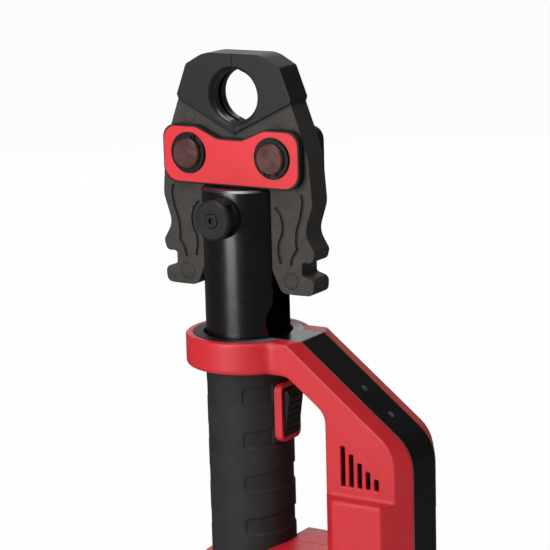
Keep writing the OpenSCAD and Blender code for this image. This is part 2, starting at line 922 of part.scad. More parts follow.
// Fork with two cheeks that hold the rollers above a foot plate on the piston rod
module roller_carriage() {
    foot_half = roller_x + roller_r;
    color("#6a6762")
        translate([0, 0, z_axle])
            difference() {
                slab(-cheek_out, cheek_out)
                    union() {
                        for (s = [-1, 1])
                            translate([s * roller_x, 0])
                                circle(r = cheek_r);
                        polygon([[-roller_x - cheek_r, 0], [-roller_x - cheek_r, -cheek_r],
                            [-foot_half, -carriage_foot + foot_t], [-foot_half, -carriage_foot],
                            [foot_half, -carriage_foot], [foot_half, -carriage_foot + foot_t],
                            [roller_x + cheek_r, -cheek_r], [roller_x + cheek_r, 0]]);
                    }
                block([-foot_half - overrun, -roller_half - gap, -carriage_foot + foot_t],
                    [foot_half + overrun, roller_half + gap, cheek_r + overrun]);
                for (s = [-1, 1])
                    rod_y(s * roller_x, 0, axle_r, -cheek_out - overrun, cheek_out + overrun);
                rod_z(rod_r / 2, -carriage_foot - overrun, -carriage_foot + foot_t + overrun);
            }
}

module roller_axles() {
    color("#a3a19c")
        for (s = [-1, 1])
            rod_y(s * roller_x, z_axle, axle_r, -cheek_out, cheek_out);
}

module roller(s) {
    color("#b0aea8")
        difference() {
            rod_y(s * roller_x, z_axle, roller_r, -roller_half, roller_half);
            rod_y(s * roller_x, z_axle, axle_r + fit, -roller_half - overrun, roller_half + overrun);
        }
}

module roller_left() {
    roller(-1);
}

module roller_right() {
    roller(1);
}

// Piston, rod and threaded stub in one turned piece, with a groove for the seal
module piston() {
    z_foot = z_axle - carriage_foot;
    color("#b8b6b0")
        rotate_extrude()
            polygon([[0, z_piston], [piston_r, z_piston], [piston_r, z_piston + (piston_t - seal_w) / 2],
                [piston_r - seal_t, z_piston + (piston_t - seal_w) / 2],
                [piston_r - seal_t, z_piston + (piston_t + seal_w) / 2],
                [piston_r, z_piston + (piston_t + seal_w) / 2], [piston_r, z_piston + piston_t],
                [rod_r, z_piston + piston_t], [rod_r, z_foot], [rod_r / 2, z_foot],
                [rod_r / 2, z_foot + foot_t], [0, z_foot + foot_t]]);
}

module piston_seal() {
    color("#101010")
        tube_z(piston_r, piston_r - seal_t, z_piston + (piston_t - seal_w) / 2,
            z_piston + (piston_t + seal_w) / 2);
}

module rod_seal() {
    color("#101010")
        tube_z(rod_r + seal_t, rod_r + fit, z_seal, z_seal + seal_w);
}

// A wire coil of even pitch along Z from z0 to z1, measured to the outside of the wire
module coil(r, wire, turns, z0, z1) {
    rings = turns * coil_rings;
    rise = z1 - z0 - 2 * wire;
    slope = atan2(rise / turns, 2 * PI * r);
    pts = [for (k = [0 : rings]) for (j = [0 : coil_sides - 1])
        let (a = 360 * k / coil_rings, b = 360 * j / coil_sides, out = r + wire * cos(b))
        [out * cos(a) + wire * sin(b) * sin(slope) * sin(a),
         out * sin(a) - wire * sin(b) * sin(slope) * cos(a),
         z0 + wire + rise * k / rings + wire * sin(b) * cos(slope)]];
    sides = [for (k = [0 : rings - 1]) for (j = [0 : coil_sides - 1])
        let (a = k * coil_sides + j, b = k * coil_sides + (j + 1) % coil_sides)
        each [[a, a + coil_sides, b], [b, a + coil_sides, b + coil_sides]]];
    caps = [for (j = [1 : coil_sides - 2])
        each [[0, j, j + 1],
            [rings * coil_sides, rings * coil_sides + j + 1, rings * coil_sides + j]]];
    polyhedron(points = pts, faces = concat(sides, caps));
}

// Return spring round the rod, pressed together at the end of the stroke
module return_spring() {
    color("#a8a8a4")
        coil(coil_r, coil_wire, coil_turns, z_piston + piston_t + gap, z_cyl_top - gap);
}

module swivel_bush() {
    color("#b08d4a")
        tube_z(lip_r - gap, neck_r + fit, z_ring, z_shoulder - fit);
}

module swivel_clip() {
    color("#8b8b88")
        difference() {
            tube_z(neck_r + gap * 2, neck_r - lock_groove, z_lock - lock_h, z_lock);
            block([neck_r / 2, -lock_groove, z_lock - lock_h - overrun],
                [neck_r + lock_groove, lock_groove, z_lock + overrun]);
        }
}

// Loop handle

// The loop seen from the side: top, shoulder slope and back, then the hand side in reverse
function loop_outline(top, crease, reach, bend, low, front, foot, from) =
    let (rise = tan(slope_angle), back_z = top - (reach - crease) * rise)
    let (under = [crease_x - loop_t * sin(slope_angle), z_top - loop_t * cos(slope_angle)])
    let (lift = (low - z_ring) / cos(slope_angle))
    let (turn_x = under[0] + (under[1] + lift - low) / rise)
    let (turn_z = under[1] + lift - (front - under[0]) * rise)
    rounded([[from, top, 0], [crease, top, crease_round], [reach, back_z, bend], [reach, foot, 0],
        [front, foot, 0], [front, turn_z, foot_round], [turn_x, low, arm_round], [from, low, 0]]);

// The loop at a given share of the way from the cover's edge to the flat of the side
function loop_section(share, edge) = loop_outline(z_top, crease_x - crease_back * share,
    loop_reach - bevel_back * share, bend_r - bend_back * share, z_ring + edge * edge_in * edge_lift_share,
    leg_x + edge * edge_in, z_box - box_sink, loop_from);

module loop_solid() {
    edge_y = loop_half - edge_in;
    edge_share = (edge_y - bevel_y) / (loop_half - bevel_y);
    rotate([90, 0, 0])
        loft([[-loop_half, loop_section(1, 1)], [-edge_y, loop_section(edge_share, 0)],
            [-bevel_y, loop_section(0, 0)], [bevel_y, loop_section(0, 0)],
            [edge_y, loop_section(edge_share, 0)], [loop_half, loop_section(1, 1)]]);
}

// Turned collar with a rounded rim and foot
module collar_ring() {
    rotate_extrude()
        polygon(rounded([[0, z_ring, 0], [ring_r, z_ring, ring_foot_r],
            [ring_r, z_top - collar_dip, ring_rim], [0, z_top - collar_dip, 0]]));
}

// Hollow blends between the collar and the flat sides of the loop
module ring_blend() {
    far = ring_r + blend_r - blend_sink;
    mid = [sqrt(far * far - pow(loop_half + blend_r - blend_sink, 2)), loop_half + blend_r - blend_sink];
    start = mid * (ring_r - blend_root) / far;
    translate([0, 0, z_ring + ring_foot_r])
        linear_extrude(height = ring_h - ring_foot_r - ring_rim)
            for (s = [-1, 1])
                difference() {
                    polygon([[loop_from + blend_root, 0], [start[0] - blend_root, s * start[1]],
                        [start[0], s * start[1]], [mid[0], s * mid[1]], [mid[0], 0]]);
                    translate([mid[0], s * mid[1]])
                        circle(r = blend_r);
                }
}

// Plan of the wide lower leg, drawn in by an even wall
function box_plan(inset) =
    let (front = leg_x - box_lap + inset, back = loop_reach - box_lap - inset)
    let (far = box_half + box_lap - inset)
    let (side = [[front, loop_half - edge_in - inset], [front + box_bevel_x, far], [back - box_back_x, far],
        [back, bevel_y - inset]])
    concat(side, [for (i = [3 : -1 : 0]) [side[i][0], -side[i][1]]]);

module box_solid(inset, z0, z1) {
    translate([0, 0, z0])
        linear_extrude(height = z1 - z0)
            polygon(box_plan(inset));
}

// Plan of the base: a round nose under the grip and straight sides back to the leg
function base_plan(inset) = concat(
    [for (i = [0 : ring_steps / 2]) let (a = 90 + 180 * i / (ring_steps / 2))
        (box_half - inset) * [cos(a), -sin(a)]],
    [[base_end, box_half - inset], [base_end, inset - box_half]]);

// The base with upright sides and a crowned top, stepped down round the foot of the grip
module base_solid() {
    turn = base_round * base_round_share;
    far = -box_half - overrun;
    difference() {
        loft([[z_base, base_plan(0)], [z_grip - crown - base_round, base_plan(0)],
            [z_grip - crown - turn, base_plan(turn)], [z_grip - crown, base_plan(base_round)],
            [z_grip, base_plan(crown_in)]]);
        slab(far, -far)
            polygon(rounded([[far, z_foot, 0], [step_x - foot_drop, z_foot, base_round],
                [step_x, z_grip - step_lift, base_round], [step_x + step_run, z_grip + overrun, 0],
                [far, z_grip + overrun, 0]]));
    }
}

// The strip and ring of the back cover, drawn out by an overrun where it is a cut
module cover_solid(out) {
    edges = [for (d = [-out, cover_t]) loop_outline(z_top - d, crease_x - d * tan(slope_angle / 2),
        loop_reach - d, bend_r - d, z_ring, leg_x, z_base + cover_end, ring_hole_r + cover_t)];
    back = corner_steps * 2 + 4;
    slab(-cover_half, cover_half)
        polygon(concat([for (i = [0 : back - 1]) edges[0][i]],
            [for (i = [back - 1 : -1 : 0]) edges[1][i]]));
    tube_z(cover_ring_r, ring_hole_r - out, z_top - cover_t, z_top + out);
}

module vent_outline(top) {
    half = vent_w / 2;
    polygon(rounded([[-half, 0, vent_round], [half, 0, vent_round], [half, top, vent_round],
        [-half, top, vent_round]]));
}

module vents() {
    for (i = [0 : vent_count - 1])
        translate([vent_x + i * vent_pitch, 0, z_box + vent_rise])
            slab(-loop_half - overrun, loop_half + overrun)
                vent_outline(vent_h * vent_top_shares[i]);
}

// Cavity of the sloping arm and the leg, inside the back cover
module leg_cavity() {
    d = cover_t + 2 * wall;
    slab(-loop_half + wall, loop_half - wall)
        polygon(loop_outline(z_top - d, crease_x - d * tan(slope_angle / 2), loop_reach - d - wall,
            bend_r - d, z_ring + wall, leg_x + wall, z_base + cover_end, ring_r + wall));
}

// Sliding rail channel in the base, open to the nose
module rail_channel() {
    block([-box_half - overrun, -rail_lip_half - gap, z_base - overrun],
        [channel_end, rail_lip_half + gap, z_base + rail_lip + gap]);
    block([-box_half - overrun, -rail_half - gap, z_base + rail_lip - gap],
        [channel_end, rail_half + gap, z_base + rail_h + gap]);
}

// Places of the housing screws in X and Z
screw_places = [[ring_r - post_r, (z_top + z_ring) / 2],
    [crease_x + loop_t, z_top - loop_t * post_drop_share],
    [loop_reach - bevel_back - post_r * 2, z_box + post_r * 2], [leg_x + wall + post_r, z_box - post_r],
    [loop_reach - box_back_x - post_r, base_floor + post_r * 2],
    [-(core_r + box_half) / 2, base_floor + post_r * 2]];

module screw_posts() {
    for (p = screw_places)
        rod_y(p[0], p[1], post_r, -box_half, box_half);
}

// A screw along Y from its tip to its head, or the bore that takes it
module screw_shape(p, room, out) {
    head_y = screw_face(p);
    translate([p[0], -screw_bite, p[1]])
        rotate([-90, 0, 0])
            rotate_extrude()
                polygon([[0, 0], [screw_r, 0], [screw_r, screw_bite], [screw_r + room, screw_bite],
                    [screw_r + room, head_y + screw_bite - screw_head_t],
                    [screw_head_r + room, head_y + screw_bite - screw_head_t],
                    [screw_head_r + room, head_y + screw_bite + out], [0, head_y + screw_bite + out]]);
}

// Bores for the screws: thread on the left, clearance and head pocket on the right
module screw_bores() {
    for (p = screw_places)
        screw_shape(p, gap, box_half);
}

// Where a screw's head ends, by the width of the housing at its place
function screw_face(p) = p[1] > z_box ? loop_half - screw_sink
    : p[0] < 0 ? box_half * screw_nose_share : box_half - screw_box_sink;

module housing_outer() {
    loop_solid();
    collar_ring();
    ring_blend();
    box_solid(0, z_base, z_box);
    base_solid();
}

module housing_inner() {
    leg_cavity();
    box_solid(wall, base_floor, z_box - wall);
    translate([0, 0, base_floor])
        linear_extrude(height = z_foot - wall - base_floor)
            polygon(base_plan(wall + base_round * base_round_share));
    block([grip_r + wall, -box_half + base_round + wall, base_floor],
        [base_end, box_half - base_round - wall, z_grip - crown - wall]);
}

// All that is cut from the housing once the posts stand
module housing_cuts() {
    rod_z(ring_hole_r, z_ring + lip_t, z_top + overrun);
    rod_z(lip_r, z_ring - overrun, z_top);
    rod_z(grip_r, z_foot - sleeve_foot, z_grip + overrun);
    rod_z(core_r, base_floor, z_foot);
    cover_solid(overrun);
    rail_channel();
    vents();
    screw_bores();
    terminal_pocket();
}

module terminal_pocket() {
    block([channel_end - overrun, -terminal_half, z_base + rail_lip],
        [channel_end + terminal_len, terminal_half, z_base + rail_h + gap]);
}

// Ribs on the side walls that hold the control board by its edges
module board_ribs() {
    for (z = [z_grip + board_rise - rib_t, z_grip + board_rise + board_h])
        difference() {
            block([board_x, -box_half, z], [board_x + board_w, box_half, z + rib_t]);
            block([board_x - overrun, -rib_h, z - overrun],
                [board_x + board_w / 2, rib_h, z + rib_t + overrun]);
        }
}

module housing_body() {
    difference() {
        housing_outer();
        difference() {
            housing_inner();
            screw_posts();
            board_ribs();
        }
        housing_cuts();
    }
}

module half_space(s) {
    far = max(ring_r, box_half) + overrun;
    translate([-far, s < 0 ? -far : 0, z_base - overrun])
        cube([far + loop_reach + overrun, far, z_top - z_base + 2 * overrun]);
}

module housing_left() {
    color("#c4282e")
        intersection() {
            housing_body();
            half_space(-1);
        }
}

module housing_right() {
    color("#c4282e")
        intersection() {
            housing_body();
            half_space(1);
        }
}

// A place on the sloping face, at a share of the way from the crease to the back
module on_slope(share) {
    x = crease_x + (loop_reach - crease_x) * share;
    translate([x, 0, z_top - (x - crease_x) * tan(slope_angle)])
        rotate([0, slope_angle, 0])
            children();
}

module back_cover() {
    color("#141414")
        difference() {
            cover_solid(0);
            for (share = lens_shares)
                on_slope(share)
                    rod_z(lens_r, -lens_t, overrun);
        }
}

module status_lenses() {
    color("#c9c7c2")
        for (share = lens_shares)
            on_slope(share)
                rod_z(lens_r, -lens_t, 0);
}

module housing_screws() {
    color("#3a3a3a")
        for (p = screw_places)
            screw_shape(p, 0, 0);
}

// Grip and trigger

module frame_outline(inset) {
    far = frame_half - inset;
    polygon(rounded([[-far, inset, frame_round], [far, inset, frame_round],
        [far, frame_h - inset, frame_round], [-far, frame_h - inset, frame_round]]));
}

// Extrudes an outline drawn in Y and Z along X
module along_x(x0, x1) {
    translate([x0, 0, z_frame])
        rotate([90, 0, 90])
            linear_extrude(height = x1 - x0)
                children();
}

// A shallow band round part of the grip, whose upper edge rises from its ends to its middle
module band_cut(z, from, span) {
    far = grip_r + overrun;
    translate([0, 0, z])
        intersection() {
            rotate(from)
                rotate_extrude(angle = span)
                    translate([grip_r - band_depth, -band_h / 2])
                        square([band_depth + overrun, 2 * band_h]);
            translate([-far, 0, 0])
                rotate([90, 0, 90])
                    linear_extrude(height = 2 * far)
                        polygon([[-far, -band_h], [far, -band_h], [far, band_h / 2],
                            [band_flat, band_h / 2 + band_peak], [-band_flat, band_h / 2 + band_peak],
                            [-far, band_h / 2]]);
        }
}

module grip_sleeve() {
    color("#2f2f2f")
        difference() {
            tube_z(grip_r, core_r, z_foot - sleeve_foot, z_ring);
            along_x(0, frame_x)
                frame_outline(0);
            for (i = [0 : band_count - 1]) {
                band_cut(z_ring - band_first - i * band_pitch, band_from, band_span);
                band_cut(z_ring - band_first - i * band_pitch, back_from, back_span);
            }
        }
}

module grip_core() {
    color("#3b3b3b")
        difference() {
            union() {
                tube_z(core_r, core_in, base_floor, z_ring);
                tube_z(core_in, neck_r + gap, z_lock + gap, z_ring);
            }
            block([0, -switch_half, z_frame + switch_rise - switch_h / 2],
                [core_r, switch_half, z_frame + switch_rise + switch_h / 2]);
        }
}

module trigger_frame() {
    window = trigger_half + gap;
    color("#b3262c")
        difference() {
            along_x(0, frame_x)
                frame_outline(0);
            along_x(-overrun, frame_x + overrun)
                polygon([[-window, frame_rim], [window, frame_rim], [window, frame_h - frame_rim],
                    [-window, frame_h - frame_rim]]);
            rod_z(core_r, z_frame - overrun, z_frame + frame_h + overrun);
            rod_y(trigger_pin_x, z_trigger_pin, trigger_pin_r, -trigger_pin_half, trigger_pin_half);
        }
}

// Wedge-shaped rocker: hinged at its foot, standing out at its top, with ridges across its face
module trigger() {
    low = z_frame + frame_rim + gap;
    high = z_frame + frame_h - frame_rim - gap * 3;
    face_low = frame_x + gap;
    face_high = frame_x + trigger_out;
    color("#1b1b1b")
        difference() {
            slab(-trigger_half, trigger_half)
                polygon(rounded([[trigger_back, low, 0], [face_low, low, trigger_round],
                    [face_high, high - trigger_round * 2, trigger_round],
                    [face_high - trigger_round * 2, high, trigger_round],
                    [trigger_back + trigger_lean, high, 0]]));
            for (i = [1 : ridge_count]) {
                share = i / (ridge_count + 1);
                translate([face_low + (face_high - face_low) * share, 0, low + (high - low) * share])
                    rotate([90, 0, 0])
                        cylinder(h = trigger_half * ridge_share, r = ridge_depth, center = true);
            }
            rod_y(trigger_pin_x, z_trigger_pin, trigger_pin_r + fit, -trigger_half - overrun,
                trigger_half + overrun);
        }
}

module trigger_pin() {
    color("#9c9a95")
        rod_y(trigger_pin_x, z_trigger_pin, trigger_pin_r, -trigger_pin_half, trigger_pin_half);
}

module trigger_switch() {
    z = z_frame + switch_rise;
    color("#1e2a38")
        intersection() {
            block([core_in, -switch_half, z - switch_h / 2], [core_r + gap, switch_half, z + switch_h / 2]);
            tube_z(core_r + gap, core_in, z - switch_h, z + switch_h);
        }
}

// Pump and drive

module pump_block() {
    color("#a9a59c")
        difference() {
            rod_z(drive_r, z_pump, z_pump_top);
            rod_z(chamber_r, z_pump - overrun, z_pump + pump_h * chamber_share);
            translate([0, 0, z_pump + ecc_h / 2])
                rotate([0, 90, 0])
                    rod_z(plunger_r + fit, 0, drive_r + overrun);
            translate([0, valve_y, 0])
                rod_z(valve_r, z_pump - overrun, z_pump + valve_len);
            tube_z(oil_out_r, oil_in_r, z_pump_top - oil_h, z_pump_top + overrun);
        }
}

module pump_plunger() {
    tip = bearing_r + throw + gap;
    color("#c2bfb7")
        translate([0, 0, z_pump + ecc_h / 2])
            rotate([0, 90, 0])
                rod_z(plunger_r, tip, tip + plunger_len);
}

module relief_valve() {
    color("#b89a52")
        translate([0, valve_y, 0])
            rod_z(valve_r, z_pump, z_pump + valve_len);
}

module oil_bladder() {
    color("#26211c")
        tube_z(oil_out_r, oil_in_r, z_pump_top - oil_h, z_pump_top - gap);
}

function involute(r, base) = r <= base ? 0 : sqrt(pow(r / base, 2) - 1) * 180 / PI - acos(base / r);

// Half the angle that a tooth takes up at radius r
function tooth_half(r, teeth, slack) =
    let (pitch = gear_module * teeth / 2, base = pitch * cos(gear_angle))
    (90 / teeth) - slack / 2 / pitch * 180 / PI + involute(pitch, base) - involute(r, base);

function gear_outline(teeth, add, ded, slack) =
    let (pitch = gear_module * teeth / 2, base = pitch * cos(gear_angle))
    let (root = pitch - ded * gear_module, tip = pitch + add * gear_module, foot = max(root, base))
    let (flank = concat(root < base ? [root] : [],
        [for (i = [0 : flank_steps]) foot + (tip - foot) * i / flank_steps]))
    [for (t = [0 : teeth - 1]) let (mid = 360 * t / teeth)
        each concat(
            [for (r = flank) let (a = mid - tooth_half(r, teeth, slack)) r * [cos(a), sin(a)]],
            [for (i = [len(flank) - 1 : -1 : 0]) let (r = flank[i], a = mid + tooth_half(r, teeth, slack))
                r * [cos(a), sin(a)]])];

z_teeth = z_gear + gear_rise;

module planet(turn) {
    color("#9d9a94")
        rotate(turn)
            translate([gear_reach, 0, z_teeth])
                linear_extrude(height = gear_w)
                    difference() {
                        rotate(180 / planet_teeth)
                            polygon(gear_outline(planet_teeth, tooth_add, tooth_ded, tooth_slack));
                        circle(r = planet_pin_r + fit);
                    }
}

module planet_a() {
    planet(planet_turns[0]);
}

module planet_b() {
    planet(planet_turns[1]);
}

module planet_c() {
    planet(planet_turns[2]);
}

module ring_gear() {
    color("#7f7c76")
        difference() {
            rod_z(drive_r, z_gear, z_pump - gap);
            translate([0, 0, z_gear - overrun])
                linear_extrude(height = gear_rise + gear_w + overrun + gap)
                    rotate(180 / ring_teeth)
                        polygon(gear_outline(ring_teeth, tooth_ded, tooth_add, -tooth_slack));
            rod_z(carrier_r + gap * 2, z_teeth + gear_w, z_pump);
        }
}

module sun_pinion() {
    color("#8f8c86")
        translate([0, 0, z_teeth])
            linear_extrude(height = gear_w)
                difference() {
                    polygon(gear_outline(sun_teeth, tooth_add, tooth_ded, tooth_slack));
                    circle(r = shaft_r);
                }
}

// Carrier plate with three planet pins below it and the pump's eccentric above it
module planet_carrier() {
    z_plate = z_teeth + gear_w + gap;
    color("#6f6c67") {
        rod_z(carrier_r, z_plate, z_plate + carrier_t);
        for (turn = planet_turns)
            rotate(turn)
                translate([gear_reach, 0, 0])
                    rod_z(planet_pin_r, z_teeth, z_plate + carrier_t / 2);
        rod_z(hub_shaft_r, z_plate, z_pump + gap);
        translate([throw, 0, 0])
            rod_z(ecc_r, z_pump, z_pump + ecc_h);
    }
}

module eccentric_bearing() {
    color("#bdbab3")
        translate([throw, 0, 0])
            tube_z(bearing_r, ecc_r, z_pump + gap, z_pump + ecc_h);
}

module motor_can() {
    color("#5d5a55")
        difference() {
            rod_z(drive_r, z_motor, z_motor + motor_h);
            rod_z(stator_r, z_motor + can_t, z_motor + motor_h - can_t);
            rod_z(race_r, z_motor + can_t / 2, z_motor + motor_h + overrun);
        }
}

z_stator = z_motor + (motor_h - stator_h) / 2;

module motor_stator() {
    color("#8a5a2b")
        difference() {
            tube_z(stator_r, stator_in, z_stator, z_stator + stator_h);
            for (i = [0 : stator_slots - 1])
                rotate(i * 360 / stator_slots)
                    block([stator_in - overrun, -slot_w / 2, z_stator - overrun],
                        [stator_r - slot_w / 2, slot_w / 2, z_stator + stator_h + overrun]);
        }
}

module motor_rotor() {
    color("#767672") {
        rod_z(rotor_r, z_stator, z_stator + stator_h);
        rod_z(shaft_r, z_motor + can_t / 2 + gap, z_teeth + gear_w);
    }
}

module motor_bearings() {
    color("#c6c4be")
        for (z = [z_motor + can_t / 2, z_motor + motor_h - race_h])
            tube_z(race_r, shaft_r + fit, z, z + race_h);
}

// Control board on edge in the leg, with a heat spreader and two capacitors
module control_board() {
    z = z_grip + board_rise;
    color("#1f5a3a") {
        block([board_x, -board_t / 2, z], [board_x + board_w, board_t / 2, z + board_h]);
        block([board_x + board_w / 2, board_t / 2, z + part_h],
            [board_x + board_w - rib_t, part_h / 2, z + board_h - part_h]);
        for (i = [0, 1])
            rod_y(board_x + part_h, z + part_h * (1 + i * part_pitch_share), part_h / 2, -part_h,
                -board_t / 2);
    }
}

// Terminal block at the end of the rail channel, with two blades that enter the pack
module terminal_block() {
    z = z_base + rail_lip;
    color("#101010")
        difference() {
            block([channel_end, -terminal_half, z],
                [channel_end + terminal_len, terminal_half, z_base + rail_h + gap]);
            block([channel_end + terminal_len / 2, -terminal_half / 2, z - overrun],
                [channel_end + terminal_len - rib_t, terminal_half / 2, z + rib_t]);
        }
    color("#c9b27a")
        for (y = blade_ys)
            block([channel_end - blade_len, y - blade_t / 2, z + blade_room],
                [channel_end, y + blade_t / 2, z_base + rail_h - blade_room]);
}

// Battery pack

function case_plan(inset) =
    let (near = battery_x + inset, far = battery_x + battery_len - inset, side = battery_w / 2 - inset)
    rounded([[near, -side, case_round], [far, -side, case_round], [far, side, case_round],
        [near, side, case_round]]);

module case_solid(inset, z0, z1) {
    translate([0, 0, z0])
        linear_extrude(height = z1 - z0)
            polygon(case_plan(inset));
}

// Places of the pack screws under the pack
pack_screws = [for (x = [battery_x + pack_screw_inset, battery_x + battery_len - pack_screw_inset])
    for (y = [-battery_w / 2 + pack_screw_inset, battery_w / 2 - pack_screw_inset]) [x, y]];

// Openings in the pack's sides for the two release latches
module latch_windows() {
    for (s = [0, 1])
        mirror([0, s, 0])
            block([latch_x - gap, battery_w / 2 - case_wall - overrun, latch_rise - gap],
                [latch_x + latch_w + gap, battery_w / 2 + overrun, latch_rise + latch_h + gap]);
}

module battery_tub() {
    color("#1c1c1c")
        difference() {
            union() {
                case_solid(foot_bevel, 0, foot_bevel);
                case_solid(0, foot_bevel, case_split);
            }
            difference() {
                case_solid(case_wall, case_wall, case_split + overrun);
                for (p = pack_screws)
                    translate([p[0], p[1], 0])
                        rod_z(post_r, 0, case_split);
            }
            for (p = pack_screws)
                translate([p[0], p[1], 0]) {
                    rod_z(screw_r, -overrun, case_split + overrun);
                    rod_z(screw_head_r, -overrun, screw_head_t + rib_t);
                }
            latch_windows();
        }
}

module battery_lid() {
    top = battery_h - gap;
    color("#1c1c1c")
        difference() {
            union() {
                difference() {
                    case_solid(0, case_split, top);
                    case_solid(case_wall, case_split - overrun, top - case_wall);
                }
                for (p = pack_screws)
                    translate([p[0], p[1], 0])
                        rod_z(post_r, case_split, top - case_wall);
                block([rail_x, -rail_lip_half, top - case_wall],
                    [rail_x + rail_len, rail_lip_half, z_base + rail_h]);
                block([rail_x, -rail_half, z_base + rail_lip + gap],
                    [rail_x + rail_len, rail_half, z_base + rail_h]);
            }
            for (p = pack_screws)
                translate([p[0], p[1], 0])
                    rod_z(screw_r, case_split - overrun, case_split + post_r);
            for (y = blade_ys)
                block([rail_x + rail_len - blade_len - contact_len, y - contact_w / 2,
                    z_base + rail_lip - gap],
                    [rail_x + rail_len + overrun, y + contact_w / 2, z_base + rail_h + overrun]);
        }
}

// Spring clips in the rail slots that grip the blades
module battery_contacts() {
    z = z_base + rail_lip - gap;
    color("#c9b27a")
        for (y = blade_ys)
            for (s = [-1, 1])
                translate([0, y + s * (contact_w - contact_t) / 2, 0])
                    block([rail_x + rail_len - blade_len, -contact_t / 2, z],
                        [rail_x + rail_len - blade_len / 3, contact_t / 2, z_base + rail_h - gap]);
}

module battery_cells() {
    x0 = battery_x + cell_end + cell_pitch / 2;
    color("#3d6fa5")
        for (i = [0 : cell_count - 1])
            for (k = [0, 1])
                rod_y(x0 + i * cell_pitch, case_wall + cell_gap + cell_r + k * cell_pitch, cell_r,
                    -cell_len / 2, cell_len / 2);
}

// Release button with a flange that keeps it in the pack's side
module latch(s) {
    face = battery_w / 2 + latch_out;
    back = battery_w / 2 - case_wall - gap;
    color("#b3262c")
        mirror([0, s < 0 ? 1 : 0, 0]) {
            block([latch_x, back, latch_rise], [latch_x + latch_w, face, latch_rise + latch_h]);
            block([latch_x - latch_flange, back - latch_flange, latch_rise - latch_flange],
                [latch_x + latch_w + latch_flange, back, latch_rise + latch_h + latch_flange]);
        }
}

module latch_left() {
    latch(-1);
}

module latch_right() {
    latch(1);
}

module battery_screws() {
    color("#5a5a5a")
        for (p = pack_screws)
            translate([p[0], p[1], 0]) {
                rod_z(screw_r, screw_head_t + rib_t, case_split + post_r);
                rod_z(screw_head_r, rib_t, screw_head_t + rib_t);
            }
}

jaw_left();
jaw_right();
side_plate_front();
side_plate_rear();
label_front();
label_rear();
jaw_pins();
pin_clips();
anchor_block();
anchor_rivets();
jaw_spring();
press_head();
retaining_bolt();
bolt_knob();
bolt_button();
roller_carriage();
roller_axles();
roller_left();
roller_right();
piston();
piston_seal();
rod_seal();
return_spring();
swivel_bush();
swivel_clip();
housing_left();
housing_right();
back_cover();
status_lenses();
housing_screws();
grip_sleeve();
grip_core();
trigger_frame();
trigger();
trigger_pin();
trigger_switch();
pump_block();
pump_plunger();
relief_valve();
oil_bladder();
planet_carrier();
eccentric_bearing();
planet_a();
planet_b();
planet_c();
ring_gear();
sun_pinion();
motor_can();
motor_stator();
motor_rotor();
motor_bearings();
control_board();
terminal_block();
battery_tub();
battery_lid();
battery_cells();
battery_contacts();
latch_left();
latch_right();
battery_screws();
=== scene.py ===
import json
import math

import bpy
from mathutils import Matrix, Vector


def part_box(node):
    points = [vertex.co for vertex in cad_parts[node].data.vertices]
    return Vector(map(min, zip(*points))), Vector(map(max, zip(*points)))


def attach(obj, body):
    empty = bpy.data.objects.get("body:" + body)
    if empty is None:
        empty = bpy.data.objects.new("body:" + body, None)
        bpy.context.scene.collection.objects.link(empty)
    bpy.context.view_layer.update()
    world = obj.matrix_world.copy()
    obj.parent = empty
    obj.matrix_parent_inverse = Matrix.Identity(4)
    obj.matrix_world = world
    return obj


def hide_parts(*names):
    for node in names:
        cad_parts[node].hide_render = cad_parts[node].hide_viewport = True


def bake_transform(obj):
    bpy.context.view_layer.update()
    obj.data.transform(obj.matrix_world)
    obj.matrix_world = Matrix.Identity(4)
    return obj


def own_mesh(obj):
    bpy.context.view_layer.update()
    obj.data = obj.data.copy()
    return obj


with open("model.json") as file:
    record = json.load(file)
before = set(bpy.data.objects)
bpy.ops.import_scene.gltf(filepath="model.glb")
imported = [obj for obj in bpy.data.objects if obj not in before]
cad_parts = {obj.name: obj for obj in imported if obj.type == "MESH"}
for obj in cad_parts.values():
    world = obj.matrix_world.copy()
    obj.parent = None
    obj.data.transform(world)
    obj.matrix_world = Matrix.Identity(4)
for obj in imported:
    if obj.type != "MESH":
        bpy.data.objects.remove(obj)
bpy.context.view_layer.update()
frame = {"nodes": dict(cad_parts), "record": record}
nodes = frame["nodes"]
scene = bpy.context.scene

MM = 0.001
WHITE = (1.0, 1.0, 1.0, 1.0)

# Places on the CAD nodes that the materials follow
pin_low, pin_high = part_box("jaw_pins")
PIN_Z = (pin_low.z + pin_high.z) / 2
PIN_X = pin_high.x - (pin_high.z - pin_low.z) / 2
EAR_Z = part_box("press_head")[1].z
EAR_CHAMFER_LOW, EAR_CHAMFER_HIGH = EAR_Z - 1.45 * MM, EAR_Z - 1.3 * MM
COVER_HALF, COVER_HIGHLIGHT, COVER_HIGHLIGHT_FADE = 15 * MM, 0.5 * MM, 0.1 * MM
COVER_RING_END, COVER_STRIP_START, COVER_RING_SHARE = 24 * MM, 44 * MM, 0.4
HEAD_RISE, HEAD_SLOPE, HEAD_FADE, HEAD_SHADOW = 13.86 * MM, 0.5, 0.2 * MM, 3.2 * MM
MOUTH_RISE, MOUTH_REACH, MOUTH_FADE = 38.2 * MM, 18.0 * MM, 0.1 * MM
MARK_X, MARK_DROP, MARK_REACH = 40.6 * MM, 81.4 * MM, 5.2 * MM
MARK_SHADE_NEAR, MARK_SHADE_FAR = 0.2 * MM, 1.3 * MM


# Shader helpers

NOISE_LOW, NOISE_HIGH = 0.3, 0.7
SHADER_SAMPLES = 8


def feed(tree, socket, value):
    """Links a socket to another node's output, or gives it a plain value."""
    if isinstance(value, bpy.types.NodeSocket):
        tree.links.new(value, socket)
    else:
        socket.default_value = value


def math_node(tree, op, a, b=0.0):
    node = tree.nodes.new("ShaderNodeMath")
    node.operation = op
    feed(tree, node.inputs[0], a)
    feed(tree, node.inputs[1], b)
    return node.outputs[0]


